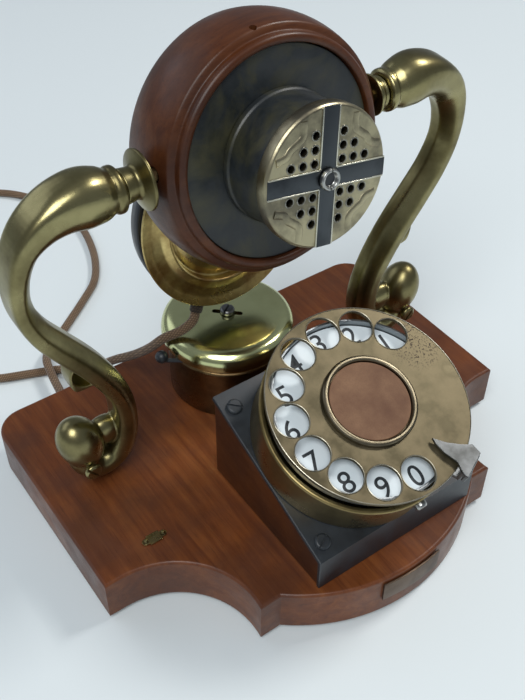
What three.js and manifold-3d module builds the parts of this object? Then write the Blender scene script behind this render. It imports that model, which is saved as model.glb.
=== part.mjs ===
// Table telephone: a shaped wooden base carries a dial on a sloping block, a bell, and two
// swan-neck arms that hold a tilting wooden drum with the mouthpiece in front and a
// watch-case receiver hung behind. Millimetres, +X right, +Y to the back, +Z up. The origin
// is the middle of the base's footprint, on the surface that it stands on.
import * as THREE from 'three';
import { mergeVertices } from 'three/addons/utils/BufferGeometryUtils.js';
import Module from 'manifold-3d';

const wasm = await Module();
wasm.setup();

const GAP = 0.3; // clearance between neighbouring solids

// ---- driving dimensions -------------------------------------------------------------------

const base = {
  halfWidth: 97.5, back: 77.4, shoulder: -21, bottom: 1.5, top: 22, backCorner: 12,
  biteX: 90.5, biteY: -55.5, biteR: 34.5, // round bites out of the two front corners
  hornY: -60.7, bowX: 47.5, bowR: 73.5, // flat horn ends, and the bow between them
};
const pocket = { halfX: 68, front: -12, back: 52, ceiling: 15, rim: 7, coverT: 1.2 };
const wireY = -6; // where the dial's wires come up through the base and the sloping block
const dial = { x: 2.2, y: -43.3, z: 78.2, tilt: THREE.MathUtils.degToRad(21.7), stack: 29.4 };
const wheel = { r: 38, thick: 1.6, holes: 10, holeR: 6.4, holeRing: 30.1, first: 37.9, step: 25.7 };
const block = { width: 74.2, length: 72.6, plateT: 2, lipT: 1.6 };
const bell = { x: 0, y: 43.5, r: 28, top: 58.3, canR: 25.5, canTop: 47 };
// The pivot and the knob are placed from the bell's middle.
const hammer = { pivot: [-14, -13.5], knob: [-32.4, 0], rodR: 0.9, knobR: 2.7, level: 48.4 };
const arm = {
  footY: 26.5, footZ: 30, lean: Math.atan(0.0675), neck: 52.6, screw: [79.6, 18.4, 36.4],
};
const drum = {
  pivotY: 18, pivotZ: 155.8, tilt: THREE.MathUtils.degToRad(-10.1),
  axis: -5.1, // the drum's own axis runs this far below the pivot
  bulge: 44.2, back: -20.6,
};
// Both arms stand a little to the left of the drum, which leaves less room on the right.
const sides = [
  { name: 'left', sign: -1, sway: 2.8, flangeAt: 47.2, flangeR: 10.3 },
  { name: 'right', sign: 1, sway: -2.8, flangeAt: 44.7, flangeR: 7.6 },
];
const face = { r: 36.3, front: 8.2, thick: 3 };
const grille = { r: 23.6, front: 32.8, turn: THREE.MathUtils.degToRad(8.6), hole: 5.4, pitch: 4.5 };
const receiver = { along: -34.1, up: -45.2, r: 36.2, exit: THREE.MathUtils.degToRad(24) };
const hook = { pivot: -14.5, width: 4, saddle: -36.1 };
const cord = { r: 2, coilX: -92, coilY: 208, coilR: 23, coilHalf: 4.3 };

// ---- materials ----------------------------------------------------------------------------

const finish = (color, roughness, metalness) =>
  new THREE.MeshStandardMaterial({ color, roughness, metalness });
const mahogany = () => finish(0x7a3a1e, 0.42, 0);
const brass = () => finish(0x8d7a3a, 0.3, 1);
const agedBrass = () => finish(0x7c6a4a, 0.45, 1);
const nickel = () => finish(0xb9bab6, 0.25, 1);
const steel = () => finish(0x77777a, 0.4, 1);
const blackMetal = () => finish(0x23282e, 0.45, 0.3);
const ebonite = () => finish(0x15171a, 0.4, 0);
const enamel = () => finish(0xdfe6ea, 0.15, 0);
const leather = () => finish(0x7d5238, 0.75, 0);
const braid = () => finish(0x7a6048, 0.9, 0);
const felt = () => finish(0x2b2d28, 0.95, 0);

// ---- solids -------------------------------------------------------------------------------

// A closed three.js geometry as a manifold solid, its faces turned outward.
function solid(geometry) {
  const bare = geometry.clone();
  bare.deleteAttribute('normal');
  bare.deleteAttribute('uv');
  const merged = mergeVertices(bare, 1e-3);
  const points = merged.attributes.position.array;
  const corners = [];
  let volume = 0;
  for (let i = 0; i < merged.index.count; i += 3) {
    const [a, b, c] = [0, 1, 2].map((k) => merged.index.getX(i + k));
    if (a === b || b === c || c === a) continue;
    corners.push(a, b, c);
    const [p, q, r] = [a, b, c].map((n) => new THREE.Vector3().fromArray(points, 3 * n));
    volume += p.dot(q.cross(r));
  }
  if (volume < 0) corners.reverse();
  return new wasm.Manifold(new wasm.Mesh({
    numProp: 3,
    vertProperties: new Float32Array(points),
    triVerts: new Uint32Array(corners),
  }));
}

// A named mesh from a solid or a geometry.
function piece(name, shape, material) {
  const body = shape.isBufferGeometry ? solid(shape) : shape;
  const made = body.getMesh();
  const geometry = new THREE.BufferGeometry();
  geometry.setAttribute('position', new THREE.BufferAttribute(made.vertProperties, made.numProp));
  geometry.setIndex(new THREE.BufferAttribute(made.triVerts, 1));
  geometry.computeVertexNormals();
  const mesh = new THREE.Mesh(geometry, material);
  mesh.name = name;
  return mesh;
}

const join = (first, ...rest) => rest.reduce((whole, next) => whole.add(next), first);
const cut = (first, ...rest) => rest.reduce((whole, next) => whole.subtract(next), first);

function boxSolid(x, y, z, at = [0, 0, 0]) {
  return solid(new THREE.BoxGeometry(x, y, z).translate(...at));
}

// A cylinder along X, Y or Z from one end to the other, centred on the two other coordinates.
function rod(axis, r, from, to, [u, v] = [0, 0], sides = 12) {
  const geometry = new THREE.CylinderGeometry(r, r, to - from, sides);
  const middle = (from + to) / 2;
  if (axis === 'x') geometry.rotateZ(-Math.PI / 2).translate(middle, u, v);
  if (axis === 'y') geometry.translate(u, middle, v);
  if (axis === 'z') geometry.rotateX(Math.PI / 2).translate(u, v, middle);
  return solid(geometry);
}

// A profile of [radius, height] turned about Z.
function turned(profile, sides = 32) {
  const points = profile.map(([r, h]) => new THREE.Vector2(r, h));
  return solid(new THREE.LatheGeometry(points, sides).rotateX(Math.PI / 2));
}

// A profile of [radius, distance forward] turned about the drum's axis, forward being -Y.
function turnedForward(profile, sides = 36) {
  const points = profile.map(([r, along]) => new THREE.Vector2(r, -along));
  return solid(new THREE.LatheGeometry(points, sides));
}

// A profile of [radius, distance outward] turned about X.
function turnedOutward(profile, sides = 20) {
  const points = profile.map(([r, out]) => new THREE.Vector2(r, out));
  return solid(new THREE.LatheGeometry(points, sides).rotateZ(-Math.PI / 2));
}

function shapeOf(points) {
  return new THREE.Shape(points.map(([x, y]) => new THREE.Vector2(x, y)));
}

// A slab of the outline from z = from to z = to, its edges eased by the bevel.
function slab(shape, from, to, bevel = 0, curveSegments = 8) {
  const geometry = new THREE.ExtrudeGeometry(shape, {
    depth: to - from - 2 * bevel, curveSegments, bevelEnabled: bevel > 0, bevelSegments: 1,
    bevelThickness: bevel, bevelSize: bevel, bevelOffset: -bevel,
  });
  return solid(geometry.translate(0, 0, from + bevel));
}

// An outline in the Y-Z plane drawn out along X, centred on x.
function drawnAlongX(points, width, x = 0) {
  const geometry = new THREE.ExtrudeGeometry(shapeOf(points), { depth: width, bevelEnabled: false });
  const yzx = new THREE.Matrix4().makeBasis(
    new THREE.Vector3(0, 1, 0), new THREE.Vector3(0, 0, 1), new THREE.Vector3(1, 0, 0),
  );
  return solid(geometry.applyMatrix4(yzx).translate(x - width / 2, 0, 0));
}

// Rings of equal point counts skinned into one closed solid with flat ends.
function loft(rings) {
  const count = rings[0].length;
  const points = rings.flat();
  const faces = [];
  for (let i = 0; i + 1 < rings.length; i += 1) {
    for (let k = 0; k < count; k += 1) {
      const a = i * count + k;
      const b = i * count + ((k + 1) % count);
      faces.push(a, b, b + count, a, b + count, a + count);
    }
  }
  for (const [start, flip] of [[0, true], [(rings.length - 1) * count, false]]) {
    for (let k = 1; k + 1 < count; k += 1) {
      const fan = [start, start + k, start + k + 1];
      faces.push(...(flip ? fan.reverse() : fan));
    }
  }
  const geometry = new THREE.BufferGeometry().setFromPoints(points);
  geometry.setIndex(faces);
  return solid(geometry);
}

// A round tube along a smooth curve through the points.
function tube(points, r, steps, sides = 8) {
  const section = new THREE.Shape();
  section.absarc(0, 0, r, 0, 2 * Math.PI, false);
  const path = new THREE.CatmullRomCurve3(points.map((p) => new THREE.Vector3(...p)));
  return solid(new THREE.ExtrudeGeometry(section, {
    steps, curveSegments: sides / 2, bevelEnabled: false, extrudePath: path,
  }));
}

// A screw's slotted head and shank, its head's face at z = 0 and its shank below.
function slottedScrew(headR, headH, shankR, length, slotW) {
  const body = turned([
    [0, -length], [shankR, -length], [shankR, -headH], [headR, -headH],
    [headR, -headH * 0.35], [headR * 0.82, 0], [0, 0],
  ], 12);
  return cut(body, boxSolid(2.5 * headR, slotW, headH, [0, 0, 0]));
}

// ---- base ---------------------------------------------------------------------------------

function baseOutline() {
  const { halfWidth: w, back, shoulder, backCorner: r } = base;
  const biteEnd = Math.asin((base.biteY - base.hornY) / base.biteR);
  const bowCentre = base.hornY + Math.sqrt(base.bowR ** 2 - base.bowX ** 2);
  const bowHalf = Math.asin(base.bowX / base.bowR);
  const shape = new THREE.Shape();
  shape.moveTo(-w, shoulder);
  shape.absarc(-base.biteX, base.biteY, base.biteR, Math.PI / 2, -biteEnd, true);
  shape.absarc(0, bowCentre, base.bowR, -Math.PI / 2 - bowHalf, -Math.PI / 2 + bowHalf, false);
  shape.absarc(base.biteX, base.biteY, base.biteR, Math.PI + biteEnd, Math.PI / 2, true);
  shape.lineTo(w, shoulder);
  shape.absarc(w - r, back - r, r, 0, Math.PI / 2, false);
  shape.absarc(-w + r, back - r, r, Math.PI / 2, Math.PI, false);
  shape.closePath();
  return shape;
}

const nameAt = [-72, -13.2];
const namePins = [nameAt[0] - 3.7, nameAt[0] + 3.7];
const coverScrews = [[-1, -1], [1, -1], [-1, 1], [1, 1]].map(([sx, sy]) => [
  sx * (pocket.halfX - 14), sy < 0 ? pocket.front - pocket.rim / 2 : pocket.back + pocket.rim / 2,
]);

function baseBoard() {
  const { halfX, front, back, ceiling, rim, coverT } = pocket;
  const middle = (front + back) / 2;
  const depth = back - front;
  const floor = base.bottom;
  const recess = coverT + 2 * GAP;
  let board = slab(baseOutline(), floor, base.top, 0.9, 8);
  board = cut(
    board,
    boxSolid(2 * halfX, depth, 2 * (ceiling - floor), [0, middle, floor]),
    boxSolid(2 * (halfX + rim), depth + 2 * rim, 2 * recess, [0, middle, floor]),
    rod('y', 3.5, back - 5, base.back + 5, [-62, 9]), // cord hole to the back edge
    rod('z', 3, ceiling - 3, base.top + 3, [0, bell.y]), // wires up into the bell's can
    rod('z', 3, ceiling - 3, base.top + 3, [dial.x, wireY]), // wires up to the dial
  );
  for (const at of coverScrews) board = cut(board, rod('z', 1.5, floor, 11, at));
  for (const x of namePins) {
    board = cut(board, rod('z', 0.8, base.top - 4, base.top + 2, [x, nameAt[1]]));
  }
  return board;
}

function baseGroup() {
  const group = new THREE.Group();
  group.add(piece('base_board', baseBoard(), mahogany()));
  const { halfX, front, back, rim, coverT } = pocket;
  const coverLow = base.bottom + GAP;
  let cover = boxSolid(2 * (halfX + rim - GAP), back - front + 2 * (rim - GAP), coverT,
    [0, (front + back) / 2, coverLow + coverT / 2]);
  for (const at of coverScrews) cover = cut(cover, rod('z', 2.6, 0, 5, at, 16));
  group.add(piece('base_cover', cover, blackMetal()));
  coverScrews.forEach(([x, y], i) => {
    const screw = piece(`cover_screw_${i + 1}`, slottedScrew(2.2, 1, 1.2, 8, 0.6), steel());
    screw.position.set(x, y, coverLow);
    screw.rotation.x = Math.PI;
    group.add(screw);
  });
  [[-86, 66], [86, 66], [-47, -50], [47, -50]].forEach(([x, y], i) => {
    group.add(piece(`foot_${i + 1}`, rod('z', 7.5, 0, base.bottom - 0.02, [x, y], 20), felt()));
  });
  group.add(namePlate());
  namePins.forEach((x, i) => {
    const pin = piece(`name_pin_${i + 1}`, turned([
      [0, -3], [0.5, -3], [0.5, 1.2], [1, 1.2], [0.7, 1.8], [0, 2],
    ], 12), brass());
    pin.position.set(x, nameAt[1], base.top);
    group.add(pin);
  });
  group.add(frontPlate());
  const gland = turned([
    [0, -8], [3.2, -8], [3.2, GAP], [4.8, GAP], [4.8, 1.4], [3.2, 2], [2.8, 4.6], [0, 4.6],
  ], 16);
  const glandMesh = piece('base_gland', gland, ebonite());
  glandMesh.rotation.x = -Math.PI / 2;
  glandMesh.position.set(-62, base.back, 9);
  group.add(glandMesh);
  return group;
}

// A small tablet with a rounded lug at each end for its pins.
function namePlate() {
  const [halfX, halfY, lugX, lugY] = [2.6, 2.2, 3.7, 1.4];
  const shape = new THREE.Shape();
  shape.moveTo(-halfX, -halfY);
  shape.lineTo(halfX, -halfY);
  shape.lineTo(halfX, -lugY);
  shape.absarc(lugX, 0, lugY, -Math.PI / 2, Math.PI / 2, false);
  shape.lineTo(halfX, lugY);
  shape.lineTo(halfX, halfY);
  shape.lineTo(-halfX, halfY);
  shape.lineTo(-halfX, lugY);
  shape.absarc(-lugX, 0, lugY, Math.PI / 2, 1.5 * Math.PI, false);
  shape.lineTo(-halfX, -lugY);
  let plate = slab(shape, GAP, GAP + 0.6, 0, 4).translate([...nameAt, base.top]);
  for (const x of namePins) plate = cut(plate, rod('z', 0.8, base.top, base.top + 2, [x, nameAt[1]]));
  return piece('name_plate', plate, brass());
}

// A thin blank plate bent round the bow of the base's front edge.
function frontPlate() {
  const bowCentre = base.hornY + Math.sqrt(base.bowR ** 2 - base.bowX ** 2);
  const inner = base.bowR + GAP;
  const outer = inner + 0.8;
  const half = 13.6 / base.bowR;
  const shape = new THREE.Shape();
  shape.absarc(0, 0, outer, -Math.PI / 2 - half, -Math.PI / 2 + half, false);
  shape.absarc(0, 0, inner, -Math.PI / 2 + half, -Math.PI / 2 - half, true);
  const mesh = piece('front_plate', slab(shape, 10, 19.5), blackMetal());
  mesh.position.set(0.5, bowCentre, 0);
  return mesh;
}

// ---- sloping block and dial ---------------------------------------------------------------

// A point of the Y-Z plane given along and above the finger wheel's face.
function onSlope(along, above) {
  return [
    dial.y + along * Math.cos(dial.tilt) - above * Math.sin(dial.tilt),
    dial.z + along * Math.sin(dial.tilt) + above * Math.cos(dial.tilt),
  ];
}

// Height of the sloping plane that lies 'above' the wheel's face, at the given y.
function slopeHeight(y, above) {
  const [y0, z0] = onSlope(0, above);
  return z0 + (y - y0) * Math.tan(dial.tilt);
}

function blockGroup() {
  const group = new THREE.Group();
  const half = block.length / 2;
  const foot = base.top + GAP;
  const under = -dial.stack - block.plateT;
  const [frontY, frontZ] = onSlope(-half, -dial.stack);
  const lipY = frontY + block.lipT;
  const plate = drawnAlongX([
    [frontY, foot], [lipY, foot], [lipY, slopeHeight(lipY, under)], onSlope(half, under),
    onSlope(half, -dial.stack), [frontY, frontZ],
  ], block.width, dial.x);
  const woodFront = lipY + GAP;
  const woodBack = onSlope(half, under)[0] - 1;
  const wood = drawnAlongX([
    [woodFront, foot], [woodBack, foot], [woodBack, slopeHeight(woodBack, under - GAP)],
    [woodFront, slopeHeight(woodFront, under - GAP)],
  ], block.width - 1.2, dial.x);
  const wireHole = rod('z', 3, 0, 80, [dial.x, wireY]);
  const corners = [[-32, -30], [32, -30], [-32, 29], [32, 29]];
  let drilled = cut(plate, wireHole);
  let drilledWood = cut(wood, wireHole);
  corners.forEach(([x, along], i) => {
    const [y, z] = onSlope(along, -dial.stack);
    const clear = new THREE.CylinderGeometry(1.9, 1.9, 24, 12).rotateX(Math.PI / 2 + dial.tilt);
    clear.translate(dial.x + x, y, z);
    drilled = cut(drilled, solid(clear));
    drilledWood = cut(drilledWood, solid(clear));
    const screw = piece(`plate_screw_${i + 1}`, slottedScrew(3, 1.4, 1.5, 11, 0.8), blackMetal());
    const [sy, sz] = onSlope(along, -dial.stack + 1.4 + GAP);
    screw.position.set(dial.x + x, sy, sz);
    screw.rotation.set(dial.tilt, 0, 0.5 + i);
    group.add(screw);
  });
  group.add(piece('wedge_plate', drilled, blackMetal()));
  group.add(piece('wedge_block', drilledWood, mahogany()));
  return group;
}

function fingerWheel() {
  const disc = new THREE.Shape();
  disc.absarc(0, 0, wheel.r, 0, 2 * Math.PI, false);
  for (let i = 0; i < wheel.holes; i += 1) {
    const a = THREE.MathUtils.degToRad(wheel.first + i * wheel.step);
    const hole = new THREE.Path();
    const [x, y] = [wheel.holeRing * Math.cos(a), wheel.holeRing * Math.sin(a)];
    hole.absarc(x, y, wheel.holeR, 0, 2 * Math.PI, true);
    disc.holes.push(hole);
  }
  return slab(disc, -wheel.thick, 0, 0, 6);
}

function dialCase() {
  const floor = -dial.stack + GAP;
  return cut(turned([
    [0, floor], [36.8, floor], [36.8, -13], [37.5, -12.2], [37.5, -11.2],
    [36.9, -10.6], [35.4, -10.6], [35.4, floor + 1.4], [0, floor + 1.4],
  ]), rod('z', 3, floor - 5, floor + 5, [0, 28.4]));
}

function fingerStop() {
  const outline = shapeOf([
    [25, 0], [27.2, -1.3], [31, -2.3], [36.5, -2.7], [40, -5.2], [42.6, -5.6], [42.6, 5.6],
    [38.2, 6.8], [35, 4.4], [30, 1.7],
  ]);
  const skirt = boxSolid(1.4, 10, 5.5, [41.9, 0, -0.6]);
  const leg = boxSolid(1.4, 4.5, 15, [41.9, 2.8, -6.3]);
  const foot = boxSolid(4.6, 4.5, 1.4, [40.2, 2.8, -13.1]);
  return join(slab(outline, 1, 2.2), skirt, leg, foot);
}

function dialGroup() {
  const group = new THREE.Group();
  group.position.set(dial.x, dial.y, dial.z);
  group.rotation.x = dial.tilt;
  group.add(piece('dial_case', dialCase(), agedBrass()));
  group.add(piece('dial_frame', turned([
    [3.4, -9.6], [35, -9.6], [35, -3.2], [34.2, -3.2], [34.2, -7.2], [3.4, -7.2], [3.4, -9.6],
  ], 32), blackMetal()));
  group.add(piece('number_plate', turned([
    [12, -6.9], [33.9, -6.9], [33.9, -6], [12, -6], [12, -6.9],
  ], 32), enamel()));
  group.add(piece('finger_wheel', fingerWheel(), agedBrass()));
  group.add(piece('hub_ring', turned([
    [15.4, GAP], [17.6, GAP], [17.6, 1.3], [16.9, 2], [15.9, 2], [15.4, GAP],
  ], 24), nickel()));
  group.add(piece('centre_card', turned([[0, GAP], [15.1, GAP], [15.1, 1], [0, 1]], 28), leather()));
  group.add(piece('dial_shaft', turned([
    [0, -26], [3, -26], [3, -17], [15.5, -17], [15.5, -15], [3, -15], [3, -1.9], [0, -1.9],
  ], 14), steel()));
  const governor = piece('governor', turned([
    [0, -26], [1.5, -26], [1.5, -24], [7, -24], [7, -20], [3.1, -20], [3.1, -14], [1.5, -14],
    [1.5, -11], [0, -11],
  ], 14), steel());
  governor.position.x = 18.9;
  group.add(governor);
  const stop = piece('finger_stop', fingerStop(), nickel());
  stop.rotation.z = THREE.MathUtils.degToRad(-64);
  group.add(stop);
  const screw = piece('case_screw', slottedScrew(2.3, 2.2, 1.1, 2.3, 0.6), nickel());
  screw.position.set(1.4, -39.6, -15);
  screw.rotation.x = Math.PI / 2;
  group.add(screw);
  return group;
}

// ---- bell ---------------------------------------------------------------------------------

function gongShell() {
  const { r, top } = bell;
  const skin = turned([
    [2.2, top], [22.5, top], [25.2, top - 0.9], [27.2, top - 2.8], [r, top - 5.4], [r, top - 8.4],
    [r - 1.4, top - 8.4], [r - 1.5, top - 5.2], [25.4, top - 3.2], [22.4, top - 1.4],
    [2.2, top - 1.4], [2.2, top],
  ]);
  const slot = boxSolid(13, 2.2, 8, [0, 0, top]).rotate([0, 0, -43]);
  return cut(skin, slot);
}

function bellGroup() {
  const group = new THREE.Group();
  group.position.set(bell.x, bell.y, 0);
  const foot = base.top + GAP;
  const { canR: r, canTop: top } = bell;
  const can = turned([
    [3.4, top], [r - 1, top], [r, top - 1], [r, foot], [r - 1.4, foot], [r - 1.4, top - 1.6],
    [3.4, top - 1.6], [3.4, top],
  ], 32);
  group.add(piece('ringer_can', cut(can, rod('z', 1.3, top - 3, top + 1, hammer.pivot)), brass()));
  const postTop = bell.top - 1.4 - GAP;
  group.add(piece('gong_post', turned([
    [0, foot], [9, foot], [9, foot + 2], [3, foot + 2], [3, postTop], [2, postTop], [2, postTop - 7],
    [0, postTop - 7],
  ], 12), steel()));
  group.add(piece('gong', gongShell(), brass()));
  const screw = piece('gong_screw', slottedScrew(3.1, 2.2, 1.7, 8, 0.9), steel());
  screw.position.z = bell.top + GAP + 2.2;
  screw.rotation.z = 0.6;
  group.add(screw);
  group.add(...hammerPieces());
  return group;
}

// The hammer's rod turns on a post that stands in the can's top, and runs out between the can
// and the gong's rim to a knob beside the gong.
function hammerPieces() {
  const { pivot, knob, rodR, knobR, level } = hammer;
  const reach = new THREE.Vector2(knob[0] - pivot[0], knob[1] - pivot[1]);
  const rodLength = reach.length() + 1.6;
  const top = level + rodR;
  const arm = rod('x', rodR, 1.6, rodLength, [0, level], 8);
  const hub = rod('z', 2.6, level - 0.5, top, [0, 0], 16);
  const lever = cut(join(arm, hub), rod('z', 1.3, level - 3, top + 3, [0, 0], 12));
  const ball = solid(new THREE.SphereGeometry(knobR, 12, 8).translate(reach.length(), 0, level + 1.9));
  const bored = cut(ball, rod('x', rodR + GAP, 0, rodLength + GAP, [0, level], 8));
  const post = turned([
    [0, bell.canTop - 5], [1, bell.canTop - 5], [1, top + GAP], [1.8, top + GAP], [1.8, top + 0.7],
    [0, top + 0.7],
  ], 12);
  return [
    piece('hammer_rod', lever, steel()),
    piece('hammer', bored, blackMetal()),
    piece('hammer_post', post, steel()),
  ].map((mesh) => {
    mesh.position.set(...pivot, 0);
    mesh.rotation.z = reach.angle();
    return mesh;
  });
}

// ---- arms ---------------------------------------------------------------------------------

// Stations down the right arm: distance from the middle plane, height, half thickness in the
// arm's plane, half depth across it, and how square the section is (2 is an ellipse). Where it
// is square, its inner front corner is cut off at a slant.
const armStations = [
  [55.4, 155.8, 6.6, 6.6, 2], [59.5, 156.2, 8.8, 8.6, 2], [65.5, 156.8, 9.7, 9.2, 2.3],
  [73, 156, 8.6, 8.4, 3], [80.5, 152.3, 7.1, 7.3, 4.4], [86.6, 145.6, 5.6, 6.4, 6],
  [90.2, 135.5, 4.5, 5.9, 6], [90.6, 123.5, 4, 5.6, 6], [87.2, 111.3, 3.9, 5.5, 6],
  [80.7, 99.8, 3.9, 5.5, 6], [73.4, 88.6, 4, 5.5, 6], [66.6, 77.2, 4.1, 5.6, 6],
  [61.3, 65.2, 4.4, 5.8, 5], [59, 52.8, 5, 6, 4], [60.4, 40.6, 5.6, 6.3, 3],
  [65.6, 31.4, 5.9, 6.5, 2.4], [73, 29.4, 5.8, 6.5, 2.2], [79, 34.5, 5.6, 6.4, 2],
  [80.4, 42, 5, 6, 2],
];

// How far an arm is carried outward of its stations: all of the sway at the neck, none at the foot.
const swayAt = (sway, t) => sway * (1 - t * t);

function armBar(sway) {
  const line = new THREE.CatmullRomCurve3(armStations.map(([x, z]) => new THREE.Vector3(x, 0, z)));
  const size = new THREE.CatmullRomCurve3(armStations.map(([, , a, b, n]) => new THREE.Vector3(a, b, n)));
  const steps = 25;
  const sides = 12;
  const rings = [];
  for (let i = 0; i <= steps; i += 1) {
    const t = i / steps;
    const centre = line.getPoint(t).add(new THREE.Vector3(swayAt(sway, t), 0, 0));
    const ahead = line.getTangent(t);
    const across = new THREE.Vector3(-ahead.z, 0, ahead.x);
    const { x: thick, y: deep, z: square } = size.getPoint(t);
    const ring = [];
    for (let k = 0; k < sides; k += 1) {
      const a = (2 * Math.PI * (k + 0.5)) / sides;
      const [c, s] = [Math.cos(a), Math.sin(a)];
      const power = c < 0 && s < 0 ? 2 - 0.19 * (square - 2) : square;
      const u = thick * Math.sign(c) * Math.abs(c) ** (2 / power);
      const v = deep * Math.sign(s) * Math.abs(s) ** (2 / power);
      ring.push(centre.clone().addScaledVector(across, u).setY(v));
    }
    rings.push(ring);
  }
  return loft(rings);
}

// The leaf that curls outward from the stem's back half, hollowed on its front.
function armLeaf() {
  const leaf = shapeOf([
    [61, 69], [70, 73], [78.4, 73.8], [80.2, 78], [79.8, 84], [76.4, 87.8], [72, 87.6], [65, 80],
  ]);
  const geometry = new THREE.ExtrudeGeometry(leaf, { depth: 8, bevelEnabled: false });
  const hollow = new THREE.SphereGeometry(1, 12, 8).scale(7, 5.6, 6.2).translate(72.2, -1.1, 81);
  return cut(solid(geometry.rotateX(Math.PI / 2).translate(0, 7.5, 0)), solid(hollow));
}

function armSolid({ sway }) {
  const ball = new THREE.SphereGeometry(1, 12, 8).scale(8.4, 9, 12).rotateY(0.3);
  ball.translate(79.6, 0, 45);
  const saddle = new THREE.SphereGeometry(1, 10, 6).scale(7.5, 4.5, 5).translate(69, 1, 48);
  const neck = arm.neck + sway;
  const ring = turnedOutward([
    [0, neck], [6.6, neck], [7.9, neck + 1], [7.9, neck + 2.8], [6.8, neck + 4], [0, neck + 4],
  ]).translate([0, 0, drum.pivotZ]);
  const upright = join(armBar(sway), armLeaf(), solid(ball), solid(saddle), ring);
  const pivotDepth = (drum.pivotZ - arm.footZ) / Math.cos(arm.lean);
  const leaning = upright
    .translate([0, 0, -drum.pivotZ])
    .rotate([THREE.MathUtils.radToDeg(arm.lean), 0, 0])
    .translate([0, arm.footY - pivotDepth * Math.sin(arm.lean), drum.pivotZ]);
  const [screwX, screwY, screwZ] = arm.screw;
  return cut(
    leaning,
    boxSolid(60, 60, 40, [75, arm.footY, base.top + GAP - 20]),
    rod('y', 2, screwY - 1, screwY + 12, [screwX, screwZ], 12),
    rod('x', 2.9, 40, neck + 5.4, [drum.pivotY, drum.pivotZ], 16),
  );
}

function armGroup() {
  const group = new THREE.Group();
  for (const side of sides) {
    const shape = armSolid(side);
    group.add(piece(`arm_${side.name}`, side.sign < 0 ? shape.mirror([1, 0, 0]) : shape, brass()));
    const screw = piece(`arm_screw_${side.name}`, slottedScrew(3.4, 1.8, 1.7, 8, 0.9), brass());
    screw.position.set(side.sign * arm.screw[0], arm.screw[1] - 2.4, arm.screw[2]);
    screw.rotation.set(Math.PI / 2, 0, 0.9 * side.sign);
    group.add(screw);
    group.add(...bearingPieces(side));
  }
  return group;
}

// The flanged ferrule between the arm's neck and the drum, and the pin that the drum turns on.
function bearingPieces({ name, sign, sway, flangeAt: inner, flangeR: r }) {
  const neck = arm.neck + sway;
  const ferrule = turnedOutward([
    [2.9, inner], [r, inner], [r, inner + 1], [r - 1.6, inner + 1.6], [6, inner + 2.8],
    [5.4, inner + 3.6], [6, neck - GAP], [2.9, neck - GAP], [2.9, inner],
  ], 20);
  const pin = rod('x', 2.6, 38, neck + 3.4);
  return [['ferrule', ferrule, brass()], ['pivot_pin', pin, steel()]].map(([kind, body, material]) => {
    const mesh = piece(`${kind}_${name}`, sign < 0 ? body.mirror([1, 0, 0]) : body, material);
    mesh.position.set(0, drum.pivotY, drum.pivotZ);
    return mesh;
  });
}

// ---- drum with the mouthpiece, and the receiver on its hook ---------------------------------

function drumShell() {
  const barrel = [];
  for (let along = 6; along >= -18; along -= 6) {
    barrel.push([drum.bulge - 0.013 * (along + 6) ** 2, along]);
  }
  const shell = turnedForward([
    [33, 4.9], [36.6, 4.9], [36.6, 9.6], [37.4, 10.1], [38.8, 10.1], [39.7, 9.2], [39.7, 7],
    ...barrel, [40.6, -20], [39, drum.back], [36.3, drum.back], [36.3, -17.4],
    [33, -17.4], [33, 4.9],
  ]);
  return cut(
    shell.translate([0, 0, drum.axis]),
    rod('x', 2.9, -60, 60, [0, 0], 16),
    rod('z', 1.2, 20, 60, [-4, -5], 12), // small hole in the crown
  );
}

function drumBack() {
  const disc = turnedForward([[0, -17.7], [36, -17.7], [36, -20.4], [0, -20.4]])
    .translate([0, 0, drum.axis]);
  const ears = [-4.2, 4.2].map((x) => boxSolid(2, 6.6, 7, [x, 14.6, 0]));
  return cut(
    join(disc, ...ears),
    boxSolid(5, 12, 13, [0, 20, 0.5]),
    rod('x', 1.6, -8, 8, [-hook.pivot, 0], 16),
  );
}

function hookLever() {
  const outline = [
    [-12.4, -2], [-33, -2.6], [-39.6, -3], [-42.3, -1.2], [-42.3, 1.4], [-40.2, 1.4], [-38.6, -0.2],
    [-34.2, -0.2], [-33.2, 2], [-12.4, 2],
  ].map(([along, up]) => [-along, up]);
  return join(drawnAlongX(outline, hook.width), rod('x', 1.3, -5, 5, [-hook.pivot, 0], 16));
}

function grilleCap() {
  const { r, front } = grille;
  let cap = turnedForward([
    [0, front], [22.6, front], [r, front - 0.9], [r, front - 5], [r - 1, front - 5],
    [r - 1, front - 1.6], [0, front - 1.6],
  ]);
  const bars = [[46.6, 7.2], [7.2, 46.6]].map(([x, z]) => boxSolid(x, 1, z, [0, -front, 0]));
  cap = join(cap, ...bars);
  for (const [sx, sz] of [[1, 1], [-1, 1], [1, -1], [-1, -1]]) {
    for (let i = 0; i < 3; i += 1) {
      for (let j = 0; i + j < 3; j += 1) {
        const at = [sx * (grille.hole + grille.pitch * i), sz * (grille.hole + grille.pitch * j)];
        cap = cut(cap, rod('y', 1.3, -front - 3, -front + 3, at, 6));
      }
    }
  }
  return cut(cap, rod('y', 1.5, -front - 3, -front + 3, [0, 0], 12));
}

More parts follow.
